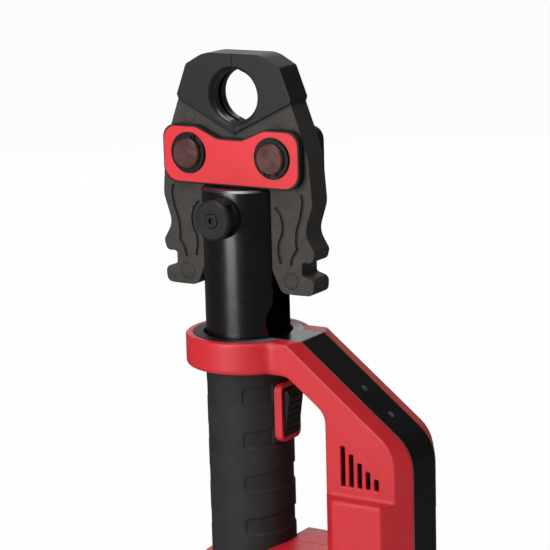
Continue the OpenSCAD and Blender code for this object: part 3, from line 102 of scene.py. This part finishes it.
def tone(r, g, b):
    """An sRGB colour, 0 to 255, as a linear one."""
    def lin(c):
        c /= 255
        return c / 12.92 if c <= 0.04045 else ((c + 0.055) / 1.055) ** 2.4
    return (lin(r), lin(g), lin(b), 1.0)


class Net:
    """A node material whose inputs take plain values or other nodes' sockets."""

    def __init__(self, name):
        self.mat = bpy.data.materials.new(name)
        self.mat.use_nodes = True
        self.tree = self.mat.node_tree
        self.tree.nodes.clear()
        self.out = self.node("OutputMaterial")
        self.bsdf = self.node("BsdfPrincipled")
        self.tree.links.new(self.bsdf.outputs[0], self.out.inputs[0])
        self.place = self.node("TexCoord").outputs["Object"]

    def node(self, kind, **inputs):
        """A new node with its inputs fed by name, where an underscore stands for a space."""
        node = self.tree.nodes.new("ShaderNode" + kind)
        for key, value in inputs.items():
            feed(self.tree, node.inputs[key.replace("_", " ")], value)
        return node

    def set(self, **values):
        """Feeds the surface's own inputs and gives the material."""
        for key, value in values.items():
            feed(self.tree, self.bsdf.inputs[key.replace("_", " ")], value)
        return self.mat

    def math(self, op, a, b=0.0):
        return math_node(self.tree, op, a, b)

    def off(self, a, b):
        return self.math("SUBTRACT", a, b)

    def size(self, a):
        return self.math("ABSOLUTE", a)

    def hypot(self, a, b):
        return self.math("SQRT", self.math("ADD", self.math("MULTIPLY", a, a), self.math("MULTIPLY", b, b)))

    def axes(self):
        split = self.node("SeparateXYZ")
        feed(self.tree, split.inputs[0], self.place)
        return split.outputs[0], split.outputs[1], split.outputs[2]

    def noise(self, scale, detail=3.0, rough=0.55, stretch=None):
        at = self.place
        if stretch is not None:
            at = self.node("Mapping", Vector=at, Scale=stretch).outputs[0]
        return self.node("TexNoise", Vector=at, Scale=scale, Detail=detail, Roughness=rough).outputs["Fac"]

    def ramp(self, fac, low, high, a, b):
        """A value that goes from a to b while fac goes from low to high."""
        node = self.node("MapRange", Value=fac, From_Min=low, From_Max=high, To_Min=a, To_Max=b)
        return node.outputs["Result"]

    def mix(self, fac, a, b, kind="RGBA"):
        """a where fac is 0 and b where it is 1."""
        node = self.node("Mix")
        node.data_type = kind
        sockets = [s for s in node.inputs if s.enabled]
        for socket, value in zip(sockets, (fac, a, b)):
            feed(self.tree, socket, value)
        return next(s for s in node.outputs if s.enabled)

    def blend(self, fac, a, b):
        """mix for plain values instead of colours."""
        return self.mix(fac, a, b, "FLOAT")

    def spread(self, noise, a, b):
        """A value that a noise field spreads between a and b."""
        return self.ramp(noise, NOISE_LOW, NOISE_HIGH, a, b)

    def mottle(self, noise, dark, light):
        """A colour that a noise field spreads between two sRGB tones."""
        return self.mix(self.spread(noise, 0.0, 1.0), tone(*dark), tone(*light))

    def shade(self, colour, amount):
        """A colour scaled by an amount."""
        node = self.node("VectorMath")
        node.operation = "SCALE"
        feed(self.tree, node.inputs[0], colour)
        feed(self.tree, node.inputs["Scale"], amount)
        return node.outputs[0]

    def bump(self, height, depth, strength, under=None):
        """The normal of a height field, on top of another normal where one is given."""
        node = self.node("Bump", Height=height, Distance=depth, Strength=strength)
        if under is not None:
            feed(self.tree, node.inputs["Normal"], under)
        return node.outputs[0]

    def soften(self, radius):
        """The surface's normal with its sharp edges rounded to a radius."""
        node = self.node("Bevel", Radius=radius)
        node.samples = SHADER_SAMPLES
        return node.outputs[0]

    def painted_shade(self, reach, low, high, dark):
        """Painted shade: 1 on open faces, down to dark in the piece's own grooves and corners."""
        node = self.node("AmbientOcclusion", Distance=reach)
        node.samples = SHADER_SAMPLES
        node.only_local = True
        return self.ramp(node.outputs["AO"], low, high, dark, 1.0)


# Materials

FLARE_NEAR, FLARE_FAR = 5 * MM, 13 * MM
LEDGE_NEAR, LEDGE_FAR, LEDGE_FADE = 3 * MM, 6 * MM, 2 * MM


def plastic(name, dark, light, rough, grain=2600.0, depth=0.05, gloss=0.5, spread=0.06, edge=0.4,
            inside=0.0, flare=None, ledge=None):
    """Moulded plastic: fine spark grain, faint flow clouds and uneven gloss. Lengths are in millimetres.

    depth is the grain's, edge is the radius of the rounded edges, and inside is the reach of a painted shade
    that darkens a shell on its inside. A flare (x, |y|, radius) is a standing corner and a ledge (z, least
    |y|, radius) a level one, whose edges look rounded much more.
    """
    n = Net(name)
    x, y, z = n.axes()
    radius = edge * MM
    if flare:
        corner_x, corner_y, wide = (v * MM for v in flare)
        away = n.hypot(n.off(x, corner_x), n.off(n.size(y), corner_y))
        radius = n.ramp(away, FLARE_NEAR, FLARE_FAR, wide, radius)
    if ledge:
        level, least, wide = (v * MM for v in ledge)
        outer = n.ramp(n.size(y), least - LEDGE_FADE, least + LEDGE_FADE, 0.0, 1.0)
        bead = n.ramp(n.size(n.off(z, level)), LEDGE_NEAR, LEDGE_FAR, wide, 0.0)
        radius = n.math("MAXIMUM", radius, n.math("MULTIPLY", outer, bead))
    colour = n.mottle(n.noise(55.0, 4.0, 0.6), dark, light)
    if inside:
        # Painted shade: the shell is darkened on its inside, within the inside reach
        colour = n.shade(colour, n.painted_shade(inside * MM, low=0.05, high=0.3, dark=0.03))
    fine = n.noise(grain, 2.0, 0.5)
    return n.set(Base_Color=colour, Specular_IOR_Level=gloss,
                 Roughness=n.spread(n.noise(240.0, 3.0, 0.6), rough - spread, rough + spread),
                 Normal=n.bump(fine, depth * MM, 0.6, n.soften(radius)))


def rubber(name, dark, light):
    """Soft matt rubber with a close moulded grain."""
    n = Net(name)
    cells = n.node("TexVoronoi", Vector=n.place, Scale=1500.0).outputs["Distance"]
    fine = n.noise(3600.0, 2.0, 0.5)
    return n.set(Base_Color=n.mottle(n.noise(70.0, 4.0, 0.6), dark, light), Specular_IOR_Level=0.3,
                 Roughness=n.spread(n.noise(300.0, 3.0, 0.6), 0.62, 0.76),
                 Normal=n.bump(fine, 0.02 * MM, 0.5, n.bump(cells, 0.03 * MM, 0.5)))


def metal(name, dark, light, rough, streaks=60.0):
    """Bare machined metal with fine tool streaks and uneven shine."""
    n = Net(name)
    streak = n.noise(120.0, 4.0, 0.6, (1.0, 1.0, streaks))
    return n.set(Base_Color=n.mottle(streak, dark, light), Metallic=1.0,
                 Roughness=n.spread(n.noise(160.0, 4.0, 0.6), rough - 0.07, rough + 0.07),
                 Normal=n.bump(streak, 0.02 * MM, 0.5))


def jaw_steel():
    """Forged skin on the arms, smooth machined black on the pressing head above the V line."""
    n = Net("forged_jaw_steel")
    x, _, z = n.axes()
    side = n.size(x)
    line = n.off(n.off(z, PIN_Z + HEAD_RISE), n.math("MULTIPLY", side, HEAD_SLOPE))
    head = n.ramp(line, -HEAD_FADE, HEAD_FADE, 0.0, 1.0)
    skin = n.noise(700.0, 5.0, 0.6)

    # The forged skin gets a painted shadow under the V line, is darker in its pits, and gets a ring of painted
    # shade round the raised mark at the arm's foot
    forged = n.mottle(n.noise(110.0, 4.0, 0.6), (50, 47, 44), (61, 57, 53))
    forged = n.shade(forged, n.ramp(line, -HEAD_SHADOW, -HEAD_FADE, 1.0, 0.4))
    forged = n.shade(forged, n.ramp(skin, 0.35, 0.65, 0.86, 1.12))
    # Painted shade in a ring round the raised mark's edge
    from_mark = n.hypot(n.off(side, MARK_X), n.off(z, PIN_Z - MARK_DROP))
    rim = n.size(n.off(from_mark, MARK_REACH))
    forged = n.shade(forged, n.ramp(rim, MARK_SHADE_NEAR, MARK_SHADE_FAR, 0.62, 1.0))

    # The head is plain, and its mouth glossy
    ground = n.mix(n.noise(300.0, 3.0, 0.6, (1.0, 1.0, 18.0)), tone(28, 28, 29), tone(33, 33, 33))
    from_mouth = n.hypot(x, n.off(z, PIN_Z + MOUTH_RISE))
    mouth = n.ramp(from_mouth, MOUTH_REACH - MOUTH_FADE, MOUTH_REACH + MOUTH_FADE, 1.0, 0.0)
    rough = n.blend(mouth, n.blend(head, n.spread(skin, 0.44, 0.58), 0.42), 0.26)

    pits = n.math("MULTIPLY", n.ramp(skin, 0.25, 0.75, 0.0, 1.0), n.off(1.0, head))
    worn = n.soften(n.ramp(head, 0.0, 1.0, 1.1 * MM, 0.5 * MM))
    fine = n.noise(2800.0, 2.0, 0.5)
    # Painted shade darkens the jaw's own grooves, the base of its V step and its corners
    colour = n.shade(n.mix(head, forged, ground), n.painted_shade(2.4 * MM, low=0.72, high=0.95, dark=0.15))
    return n.set(Base_Color=colour, Roughness=rough, Specular_IOR_Level=n.ramp(mouth, 0.0, 1.0, 0.28, 0.8),
                 Normal=n.bump(fine, 0.02 * MM, 0.4, n.bump(pits, 0.22 * MM, 0.9, worn)))


def pin_steel():
    """Brown oxide pins with turning rings on their ends."""
    n = Net("brown_pin_steel")
    x, _, z = n.axes()
    from_pin = n.hypot(n.off(n.size(x), PIN_X), n.off(z, PIN_Z))
    ring_pitch = 0.9 * MM
    rings = n.math("SINE", n.math("MULTIPLY", from_pin, 2 * math.pi / ring_pitch))
    clouds = n.noise(260.0, 5.0, 0.6)
    return n.set(Base_Color=n.mottle(clouds, (62, 34, 32), (90, 54, 50)), Metallic=0.35,
                 Roughness=n.ramp(rings, -1.0, 1.0, 0.3, 0.42),
                 Normal=n.bump(rings, 0.03 * MM, 0.6, n.bump(clouds, 0.05 * MM, 0.4)))


def barrel_black():
    """Glossy black coat; the chamfered ends of the fork ears are bright where the tool cut through it."""
    n = Net("barrel_black_coat")
    _, _, z = n.axes()
    chamfer = n.ramp(z, EAR_CHAMFER_LOW, EAR_CHAMFER_HIGH, 0.0, 1.0)
    coat = n.mottle(n.noise(60.0, 4.0, 0.6), (6, 6, 7), (9, 9, 10))
    bright = n.mix(n.noise(200.0, 4.0, 0.6), tone(118, 118, 116), tone(150, 149, 146))
    rough = n.blend(chamfer, n.spread(n.noise(180.0, 3.0, 0.6), 0.22, 0.28), 0.28)
    peel = n.noise(900.0, 2.0, 0.5)
    return n.set(Base_Color=n.mix(chamfer, coat, bright), Metallic=chamfer, Roughness=rough,
                 Specular_IOR_Level=0.85, Normal=n.bump(peel, 0.003 * MM, 0.2))


def cover_black():
    """Gloss black cover strip with a painted highlight along its edges, satin on the ring round the barrel."""
    n = Net("cover_black_gloss")
    x, y, _ = n.axes()
    past_ring = n.math("ADD", x, n.math("MULTIPLY", n.hypot(x, y), COVER_RING_SHARE))
    strip = n.ramp(past_ring, COVER_RING_END, COVER_STRIP_START, 0.0, 1.0)
    # Painted highlight: a light grey line along both long edges of the strip
    rim = n.ramp(n.size(y), COVER_HALF - COVER_HIGHLIGHT, COVER_HALF - COVER_HIGHLIGHT + COVER_HIGHLIGHT_FADE, 0.0, 1.0)
    black = n.mottle(n.noise(55.0, 4.0, 0.6), (7, 7, 9), (10, 10, 12))
    colour = n.mix(n.math("MULTIPLY", strip, rim), black, tone(112, 113, 116))
    rough = n.blend(strip, 0.55, n.spread(n.noise(240.0, 3.0, 0.6), 0.2, 0.26))
    fine = n.noise(1800.0, 2.0, 0.5)
    return n.set(Base_Color=colour, Roughness=rough, Specular_IOR_Level=0.38,
                 Normal=n.bump(fine, 0.002 * MM, 0.3, n.soften(0.6 * MM)))


def board_green():
    """Dark solder mask with faint traces."""
    n = Net("board_solder_mask")
    traces = n.node("TexBrick", Vector=n.place, Scale=160.0).outputs["Fac"]
    return n.set(Base_Color=n.mix(traces, tone(9, 14, 11), tone(16, 24, 19)),
                 Roughness=n.spread(n.noise(300.0), 0.35, 0.5))


MATERIALS = {
    "jaw_steel": jaw_steel(),
    "plate_black": plastic("plate_black_coat", (17, 17, 17), (24, 24, 24), 0.45, grain=1400.0, depth=0.03,
                           gloss=0.35),
    "label_red": plastic("label_red_foil", (199, 34, 42), (206, 40, 48), 0.38, grain=3200.0, depth=0.02,
                         gloss=0.45),
    "pin_steel": pin_steel(),
    "clip_steel": metal("clip_spring_steel", (36, 36, 35), (56, 56, 54), 0.4),
    "head_black": barrel_black(),
    "bolt_steel": metal("bolt_ground_steel", (120, 118, 114), (158, 156, 150), 0.3),
    "knob_plastic": plastic("knob_black_plastic", (22, 22, 22), (30, 30, 30), 0.5, grain=2400.0, depth=0.03,
                            gloss=0.3),
    "inner_steel": metal("inner_turned_steel", (128, 126, 121), (166, 164, 158), 0.32),
    "gear_steel": metal("gear_hobbed_steel", (104, 101, 96), (140, 136, 130), 0.38),
    "seal_rubber": rubber("seal_black_rubber", (12, 12, 12), (20, 20, 20)),
    "spring_steel": metal("spring_tempered_steel", (120, 120, 116), (170, 170, 165), 0.3),
    "bronze": metal("bush_bronze", (150, 116, 56), (186, 150, 82), 0.35),
    # The housing's inside reach gives it painted shade within its shell
    "housing_red": plastic("housing_red_plastic", (186, 30, 39), (193, 35, 44), 0.42, depth=0.04, gloss=0.45,
                           edge=1.8, inside=14.0, flare=(32.2, 27.0, 7.0), ledge=(156.0, 22.0, 4.5)),
    "cover_black": cover_black(),
    # The smoky lens is painted a lighter grey as a painted glint
    "lens": plastic("status_lens_smoke_painted_glint", (58, 58, 62), (78, 78, 84), 0.14, depth=0.01, spread=0.03, edge=0.5),
    "screw_black": metal("screw_black_oxide", (38, 38, 38), (60, 60, 59), 0.4),
    "grip_rubber": rubber("grip_black_rubber", (32, 32, 32), (40, 40, 40)),
    "inner_plastic": plastic("inner_grey_plastic", (46, 46, 46), (56, 56, 56), 0.5),
    "trigger_black": plastic("trigger_black_plastic", (14, 14, 14), (20, 20, 20), 0.38, depth=0.02,
                             gloss=0.4),
    "frame_red": plastic("frame_red_plastic", (186, 30, 36), (194, 36, 42), 0.42),
    "switch_blue": plastic("switch_blue_plastic", (28, 40, 54), (36, 50, 66), 0.45),
    "pump_alloy": metal("pump_cast_alloy", (150, 147, 140), (180, 177, 170), 0.42),
    "stator_stack": metal("stator_copper_stack", (120, 74, 34), (156, 104, 56), 0.45, streaks=400.0),
    "board_green": board_green(),
    "contact_brass": metal("contact_plated_brass", (184, 160, 104), (212, 192, 140), 0.28),
    "battery_black": plastic("battery_black_plastic", (24, 24, 24), (33, 33, 33), 0.52, grain=1900.0,
                             depth=0.08, gloss=0.4),
    "cell_blue": plastic("cell_blue_sleeve", (48, 92, 142), (64, 112, 164), 0.3),
}

# Edge breaks on the CAD nodes, in millimetres
BREAKS = {
    "jaw_left": 0.9, "jaw_right": 0.9, "side_plate_front": 0.5, "side_plate_rear": 0.5,
    "label_front": 0.12, "label_rear": 0.12, "anchor_block": 0.5,
    "housing_left": 0.9, "housing_right": 0.9, "back_cover": 0.45, "trigger_frame": 0.8,
    "battery_tub": 0.8, "battery_lid": 0.8, "latch_left": 0.5, "latch_right": 0.5,
}
BREAK_SEGMENTS, BREAK_ANGLE = 3, math.radians(28)
WELD_REACH, FLAT_ANGLE, NORMAL_WEIGHT = 0.002 * MM, math.radians(0.5), 60

slot_of = {s["node"]: s["material_slot"] for s in frame["record"]["subparts"]}


def dress(name):
    """Gives a CAD node its material; where it has an edge break, welds its faces and rounds its edges."""
    obj = nodes[name]
    obj.data.materials.clear()
    obj.data.materials.append(MATERIALS[slot_of[name]])
    if name not in BREAKS:
        return
    weld = obj.modifiers.new("weld", "WELD")
    weld.merge_threshold = WELD_REACH
    flat = obj.modifiers.new("flat", "DECIMATE")
    flat.decimate_type = "DISSOLVE"
    flat.angle_limit = FLAT_ANGLE
    bevel = obj.modifiers.new("bevel", "BEVEL")
    bevel.width = BREAKS[name] * MM
    bevel.segments = BREAK_SEGMENTS
    bevel.limit_method = "ANGLE"
    bevel.angle_limit = BREAK_ANGLE
    bevel.miter_outer = "MITER_ARC"
    normals = obj.modifiers.new("normals", "WEIGHTED_NORMAL")
    normals.keep_sharp = True
    normals.weight = NORMAL_WEIGHT


for node_name in nodes:
    dress(node_name)


# Pieces of the scene's own

def new_piece(name, verts, faces, slot, body, *replaced, crisp=None):
    """A smooth mesh piece in the frame of the CAD nodes. It stands for the replaced nodes and rides a body,
    where they are named, and its edges past the crisp angle, in degrees, stay sharp."""
    mesh = bpy.data.meshes.new(name)
    mesh.from_pydata(verts, [], faces)
    mesh.update()
    for polygon in mesh.polygons:
        polygon.use_smooth = True
    if crisp:
        mesh.set_sharp_from_angle(angle=math.radians(crisp))
    mesh.materials.append(MATERIALS[slot])
    obj = bpy.data.objects.new(name, mesh)
    scene.collection.objects.link(obj)
    if body:
        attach(obj, body)
    if replaced:
        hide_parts(*replaced)
    return obj


def loft_faces(rings, sides):
    """Faces over a stack of rings, each with one vertex per side, closed by a cap at each end."""
    faces = []
    for k in range(rings - 1):
        for j in range(sides):
            a, b = k * sides + j, k * sides + (j + 1) % sides
            faces.append((a, b, b + sides, a + sides))
    faces.append(tuple(range(sides))[::-1])
    faces.append(tuple((rings - 1) * sides + j for j in range(sides)))
    return faces


def smooth_step(value, low, high):
    """0 below low, 1 above high and a soft rise between them."""
    t = min(1.0, max(0.0, (value - low) / (high - low)))
    return t * t * (3 - 2 * t)


# Grip sleeve: shallow bands whose upper edges rise to their middles, in millimetres and degrees
BAND_FIRST, BAND_PITCH, BAND_COUNT = 18.0, 30.0, 4
BAND_HALF, BAND_FLAT, BAND_PEAK, BAND_DEPTH = 5.0, 9.0, 3.2, 0.9
BAND_SECTORS = ((0.0, 68.0), (180.0, 40.0))
BAND_EDGE, BAND_CORNER, BAND_MARGIN = 0.4, 2.8, 1.0
SLEEVE_COLUMNS, SLEEVE_STEP = 360, 0.4
SLEEVE_SKIN, SLEEVE_LIP = 1.6, 1.7
FRAME_CLOSE, FRAME_CLEAR = 0.6, 1.6


def band_depth(angle, z, top, radius):
    """How deep the sleeve is cut at an angle from +X and a height, all in millimetres and degrees."""
    across = abs(radius * math.sin(math.radians(angle)))
    fall = max(0.0, across - BAND_FLAT) / (radius - BAND_FLAT)
    upper = BAND_HALF + BAND_PEAK * (1 - fall)
    turns = [half - abs((angle - middle + 180) % 360 - 180) for middle, half in BAND_SECTORS]
    arc = max(math.radians(turn) * radius for turn in turns)
    if arc < -BAND_EDGE:
        return 0.0
    for i in range(BAND_COUNT):
        rel = z - (top - BAND_FIRST - i * BAND_PITCH)
        if -BAND_HALF - BAND_MARGIN < rel < BAND_HALF + BAND_PEAK + BAND_MARGIN:
            rise = min(rel + BAND_HALF, upper - rel)
            reach = min(arc, rise)
            if arc < BAND_CORNER and rise < BAND_CORNER:
                reach = BAND_CORNER - math.hypot(BAND_CORNER - arc, BAND_CORNER - rise)
            return BAND_DEPTH * smooth_step(reach, -BAND_EDGE, BAND_EDGE)
    return 0.0


def make_sleeve():
    """The rubber sleeve as an outer and an inner shell, with an opening behind the trigger frame."""
    low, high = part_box("grip_sleeve")
    frame_low, frame_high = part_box("trigger_frame")
    left, right = frame_low.y / MM, frame_high.y / MM
    under, over = frame_low.z / MM, frame_high.z / MM
    radius = high.x / MM
    top, foot = high.z / MM, low.z / MM
    columns, rows = SLEEVE_COLUMNS, int((top - foot) / SLEEVE_STEP)

    def past_frame(y, z):
        """How far a place is outside the trigger frame's box, or less than 0 inside it."""
        return max(left - y, y - right, under - z, z - over)

    verts, index = [], {}
    for shell, inward in (("out", 0.0), ("in", SLEEVE_SKIN)):
        for j in range(rows + 1):
            z = foot + (top - foot) * j / rows
            for i in range(columns):
                angle = 360.0 * i / columns
                cos, sin = math.cos(math.radians(angle)), math.sin(math.radians(angle))
                share = 1.0 if cos < 0 else smooth_step(past_frame(radius * sin, z), FRAME_CLOSE, FRAME_CLEAR)
                r = radius - share * band_depth(angle, z, top, radius) - inward
                index[shell, i, j] = len(verts)
                verts.append((r * cos * MM, r * sin * MM, z * MM))

    def kept(i, j):
        if not 0 <= j < rows:
            return False
        angle = math.radians(360.0 * (i + 0.5) / columns)
        z = foot + (top - foot) * (j + 0.5) / rows
        return math.cos(angle) <= 0 or past_frame(radius * math.sin(angle), z) >= -SLEEVE_LIP

    faces = []
    for j in range(rows):
        for i in range(columns):
            if not kept(i, j):
                continue
            n = (i + 1) % columns
            cell = ((i, j), (n, j), (n, j + 1), (i, j + 1))
            faces.append(tuple(index["out", *p] for p in cell))
            faces.append(tuple(index["in", *cell[k]] for k in (0, 3, 2, 1)))
            borders = (((i, j - 1), cell[0], cell[1]), ((i, j + 1), cell[2], cell[3]),
                       (((i - 1) % columns, j), cell[3], cell[0]), ((n, j), cell[1], cell[2]))
            for beyond, p, q in borders:
                if not kept(*beyond):
                    faces.append((index["out", *p], index["in", *p], index["in", *q], index["out", *q]))
    used = sorted({v for f in faces for v in f})
    new = {v: k for k, v in enumerate(used)}
    new_piece("grip_sleeve_rubber", [verts[v] for v in used], [tuple(new[v] for v in f) for f in faces],
              "grip_rubber", "body", "grip_sleeve")


make_sleeve()


def tube(path, radius, sides):
    """Vertices and faces of a round wire along a path of points, closed by caps."""
    verts = []
    for k, at in enumerate(path):
        ahead = (path[min(k + 1, len(path) - 1)] - path[max(k - 1, 0)]).normalized()
        out = Vector((at.x, at.y, 0)).normalized()
        out = (out - ahead * out.dot(ahead)).normalized()
        side = ahead.cross(out)
        for j in range(sides):
            b = 2 * math.pi * j / sides
            verts.append(at + radius * (math.cos(b) * out + math.sin(b) * side))
    return verts, loft_faces(len(path), sides)


def make_return_spring():
    """A coil, closed up at rest, between the barrel and the carriage."""
    low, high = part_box("return_spring")
    wire, turns, steps, sides = 1.0 * MM, 5, 32, 12
    reach = high.x - wire
    path = []
    for k in range(turns * steps + 1):
        a = 2 * math.pi * k / steps
        z = low.z + wire + (high.z - low.z - 2 * wire) * k / (turns * steps)
        path.append(Vector((reach * math.cos(a), reach * math.sin(a), z)))
    verts, faces = tube(path, wire, sides)
    obj = new_piece("return_spring_coil", verts, faces, "spring_steel", None, "return_spring")
    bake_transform(obj)


make_return_spring()


def make_jaw_spring():
    """A bowed leaf that rides the head."""
    low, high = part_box("jaw_spring")
    thick, steps, corners = 1.6 * MM, 24, 4
    lean = 0.4 * thick
    half = high.x - lean
    rise = high.z - low.z - thick
    verts, faces = [], []
    for k in range(2 * steps + 1):
        t = k / steps - 1
        slope = -2 * rise * t / half
        out = Vector((-slope, 0, 1)).normalized() * thick / 2
        at = Vector((half * t, 0, low.z + thick / 2 + rise * (1 - t * t)))
        for y in (low.y, high.y):
            for sign in (-1, 1):
                p = at + sign * out
                verts.append((p.x, y, p.z))
    last = 2 * steps * corners
    for a in range(0, last, corners):
        b = a + corners
        for p, q in ((0, 1), (1, 3), (3, 2), (2, 0)):
            faces.append((a + p, b + p, b + q, a + q))
    faces += [(0, 1, 3, 2), (last, last + 2, last + 3, last + 1)]
    obj = new_piece("jaw_spring_leaf", verts, faces, "spring_steel", "head", "jaw_spring", crisp=40)
    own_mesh(obj)


make_jaw_spring()


def make_button():
    """The release button in the knob, with a chamfered face and a hexagon socket."""
    low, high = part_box("bolt_button")
    mid = (low + high) / 2
    reach, sides = (high.x - low.x) / 2, 48
    flat, chamfer, socket = 1.9 * MM, 0.4 * MM, 2.2 * MM
    turns = [360.0 * j / sides for j in range(sides)]
    hexagon = [flat / math.cos(math.radians(turn % 60 - 30)) for turn in turns]
    rings = (([reach] * sides, high.y), ([reach] * sides, low.y + chamfer),
             ([reach - chamfer] * sides, low.y), (hexagon, low.y), (hexagon, low.y + socket))
    verts = []
    for reaches, y in rings:
        for r, turn in zip(reaches, turns):
            a = math.radians(turn)
            verts.append((mid.x + r * math.cos(a), y, mid.z + r * math.sin(a)))
    new_piece("bolt_button_socket", verts, loft_faces(len(rings), sides), slot_of["bolt_button"], "button",
              "bolt_button", crisp=30)


make_button()


def make_knob_face():
    """A ring that closes the knob's face groove flush, as the plain face in the photograph."""
    low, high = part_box("bolt_knob")
    mid = (low + high) / 2
    sides, inner, outer = 96, 7.7 * MM, 9.7 * MM
    proud, depth, chamfer = 0.02 * MM, 0.9 * MM, 0.02 * MM
    face = low.y - proud
    section = ((inner, face + chamfer), (inner + chamfer, face), (outer - chamfer, face),
               (outer, face + chamfer), (outer, face + depth), (inner, face + depth))
    count = len(section)
    verts, faces = [], []
    for j in range(sides):
        turn = 2 * math.pi * j / sides
        verts += [(mid.x + r * math.cos(turn), y, mid.z + r * math.sin(turn)) for r, y in section]
        a, b = j * count, (j + 1) % sides * count
        for k in range(count):
            n = (k + 1) % count
            faces.append((a + k, a + n, b + n, b + k))
    new_piece("knob_face_ring", verts, faces, slot_of["bolt_knob"], "bolt", crisp=30)


make_knob_face()


# Camera, as fitted to the photograph

CAMERA_AT = Vector((0.8058, -1.2540, 0.6126))
CAMERA_RIGHT = Vector((0.85073, 0.52494, -0.02639))
CAMERA_UP = Vector((-0.08929, 0.19383, 0.97696))


def make_camera():
    data = bpy.data.cameras.new("camera")
    data.lens = 150.0
    data.sensor_width = 36.0
    data.clip_end = 200.0
    cam = bpy.data.objects.new("camera", data)
    scene.collection.objects.link(cam)
    basis = Matrix((CAMERA_RIGHT, CAMERA_UP, CAMERA_RIGHT.cross(CAMERA_UP))).transposed().to_4x4()
    cam.matrix_world = Matrix.Translation(CAMERA_AT) @ basis
    scene.camera = cam


make_camera()


# Studio

LAMP_AIM = Vector((0.03, 0.0, 0.29))


def lamp(name, azimuth, elevation, distance, size, power, mirrored=True):
    """A soft area lamp aimed at the middle of the tool; azimuth 0 stands in front, on the -Y side."""
    a, e = math.radians(azimuth), math.radians(elevation)
    away = Vector((math.sin(a) * math.cos(e), -math.cos(a) * math.cos(e), math.sin(e)))
    data = bpy.data.lights.new(name, "AREA")
    data.shape = "RECTANGLE"
    data.size, data.size_y = size
    data.energy = power
    obj = bpy.data.objects.new(name, data)
    scene.collection.objects.link(obj)
    turn = (-away).to_track_quat("-Z", "Y").to_matrix().to_4x4()
    obj.matrix_world = Matrix.Translation(LAMP_AIM + distance * away) @ turn
    obj.visible_camera = False
    obj.visible_glossy = mirrored


# Angles in degrees, distance and size in metres, power in watts
lamp("key", -10, 8, 1.7, (0.8, 1.6), 30.0)
lamp("side", 100, 12, 2.0, (2.2, 1.6), 4.0, mirrored=False)
lamp("back", 215, 20, 2.2, (3.0, 2.0), 30.0, mirrored=False)
lamp("top", 5, 62, 1.6, (1.4, 1.0), 15.0)

# The background is white, but it lights the tool only faintly. Glossy surfaces mirror it white round the
# backdrop's direction, fading between the inner and the outer angle, and dim elsewhere.
AMBIENT, STUDIO_DIM = 0.08, 0.07
BACKDROP = Vector((-0.488, 0.763, 0.423)).normalized()
BACKDROP_INNER, BACKDROP_OUTER = math.radians(16), math.radians(32)


def seen_directly(tree):
    """1 for what the camera sees straight, in a mirror or through glass, and 1 for the mirror alone."""
    path = tree.nodes.new("ShaderNodeLightPath")
    mirrored = path.outputs["Is Glossy Ray"]
    seen = math_node(tree, "MAXIMUM", path.outputs["Is Camera Ray"], mirrored)
    return math_node(tree, "MAXIMUM", seen, path.outputs["Is Transmission Ray"]), mirrored


def make_world():
    world = bpy.data.worlds.new("studio")
    scene.world = world
    world.use_nodes = True
    tree = world.node_tree
    tree.nodes.clear()
    out = tree.nodes.new("ShaderNodeOutputWorld")
    back = tree.nodes.new("ShaderNodeBackground")
    back.inputs["Color"].default_value = WHITE
    tree.links.new(back.outputs[0], out.inputs[0])

    seen, mirrored = seen_directly(tree)
    level = tree.nodes.new("ShaderNodeMapRange")
    turn = tree.nodes.new("ShaderNodeVectorMath")
    turn.operation = "DOT_PRODUCT"
    tree.links.new(tree.nodes.new("ShaderNodeTexCoord").outputs["Generated"], turn.inputs[0])
    turn.inputs[1].default_value = BACKDROP
    sector = tree.nodes.new("ShaderNodeMapRange")
    sector.interpolation_type = "SMOOTHSTEP"
    for node, values in ((level, (seen, 0.0, 1.0, AMBIENT, 1.0)),
                         (sector, (turn.outputs["Value"], math.cos(BACKDROP_OUTER), math.cos(BACKDROP_INNER),
                                   STUDIO_DIM, 1.0))):
        for key, value in zip(("Value", "From Min", "From Max", "To Min", "To Max"), values):
            feed(tree, node.inputs[key], value)
    drop = math_node(tree, "SUBTRACT", level.outputs[0], sector.outputs[0])
    strength = math_node(tree, "SUBTRACT", level.outputs[0], math_node(tree, "MULTIPLY", mirrored, drop))
    tree.links.new(strength, back.inputs["Strength"])


make_world()

# The floor is nearly plain white to the camera, and less so near the tool, so that the shadow shows
FLOOR_HALF = 40.0
SHADOW_NEAR, SHADOW_FAR = 0.08, 0.3
GLOW_NEAR, GLOW_FAR = 0.55, 0.97


def make_floor():
    mesh = bpy.data.meshes.new("floor")
    corners = [(x * FLOOR_HALF, y * FLOOR_HALF, 0) for x, y in ((-1, -1), (1, -1), (1, 1), (-1, 1))]
    mesh.from_pydata(corners, [], [(0, 1, 2, 3)])
    floor = bpy.data.objects.new("floor", mesh)
    scene.collection.objects.link(floor)
    n = Net("floor_pale")
    pale = n.mix(n.noise(3.0, 2.0, 0.5), (0.86, 0.86, 0.86, 1.0), (0.9, 0.9, 0.9, 1.0))
    floor.data.materials.append(n.set(Base_Color=pale, Roughness=0.9, Specular_IOR_Level=0.1))
    seen, mirrored = seen_directly(n.tree)
    strength = n.off(1.0, n.math("MULTIPLY", mirrored, 1.0 - STUDIO_DIM))
    glow = n.node("Emission", Color=WHITE, Strength=strength)
    x, y, _ = n.axes()
    share = n.ramp(n.hypot(x, y), SHADOW_NEAR, SHADOW_FAR, GLOW_NEAR, GLOW_FAR)
    both = n.node("MixShader")
    feed(n.tree, both.inputs[0], n.math("MULTIPLY", seen, share))
    n.tree.links.new(n.bsdf.outputs[0], both.inputs[1])
    n.tree.links.new(glow.outputs[0], both.inputs[2])
    n.tree.links.new(both.outputs[0], n.out.inputs[0])


make_floor()

scene.view_settings.view_transform = "Standard"
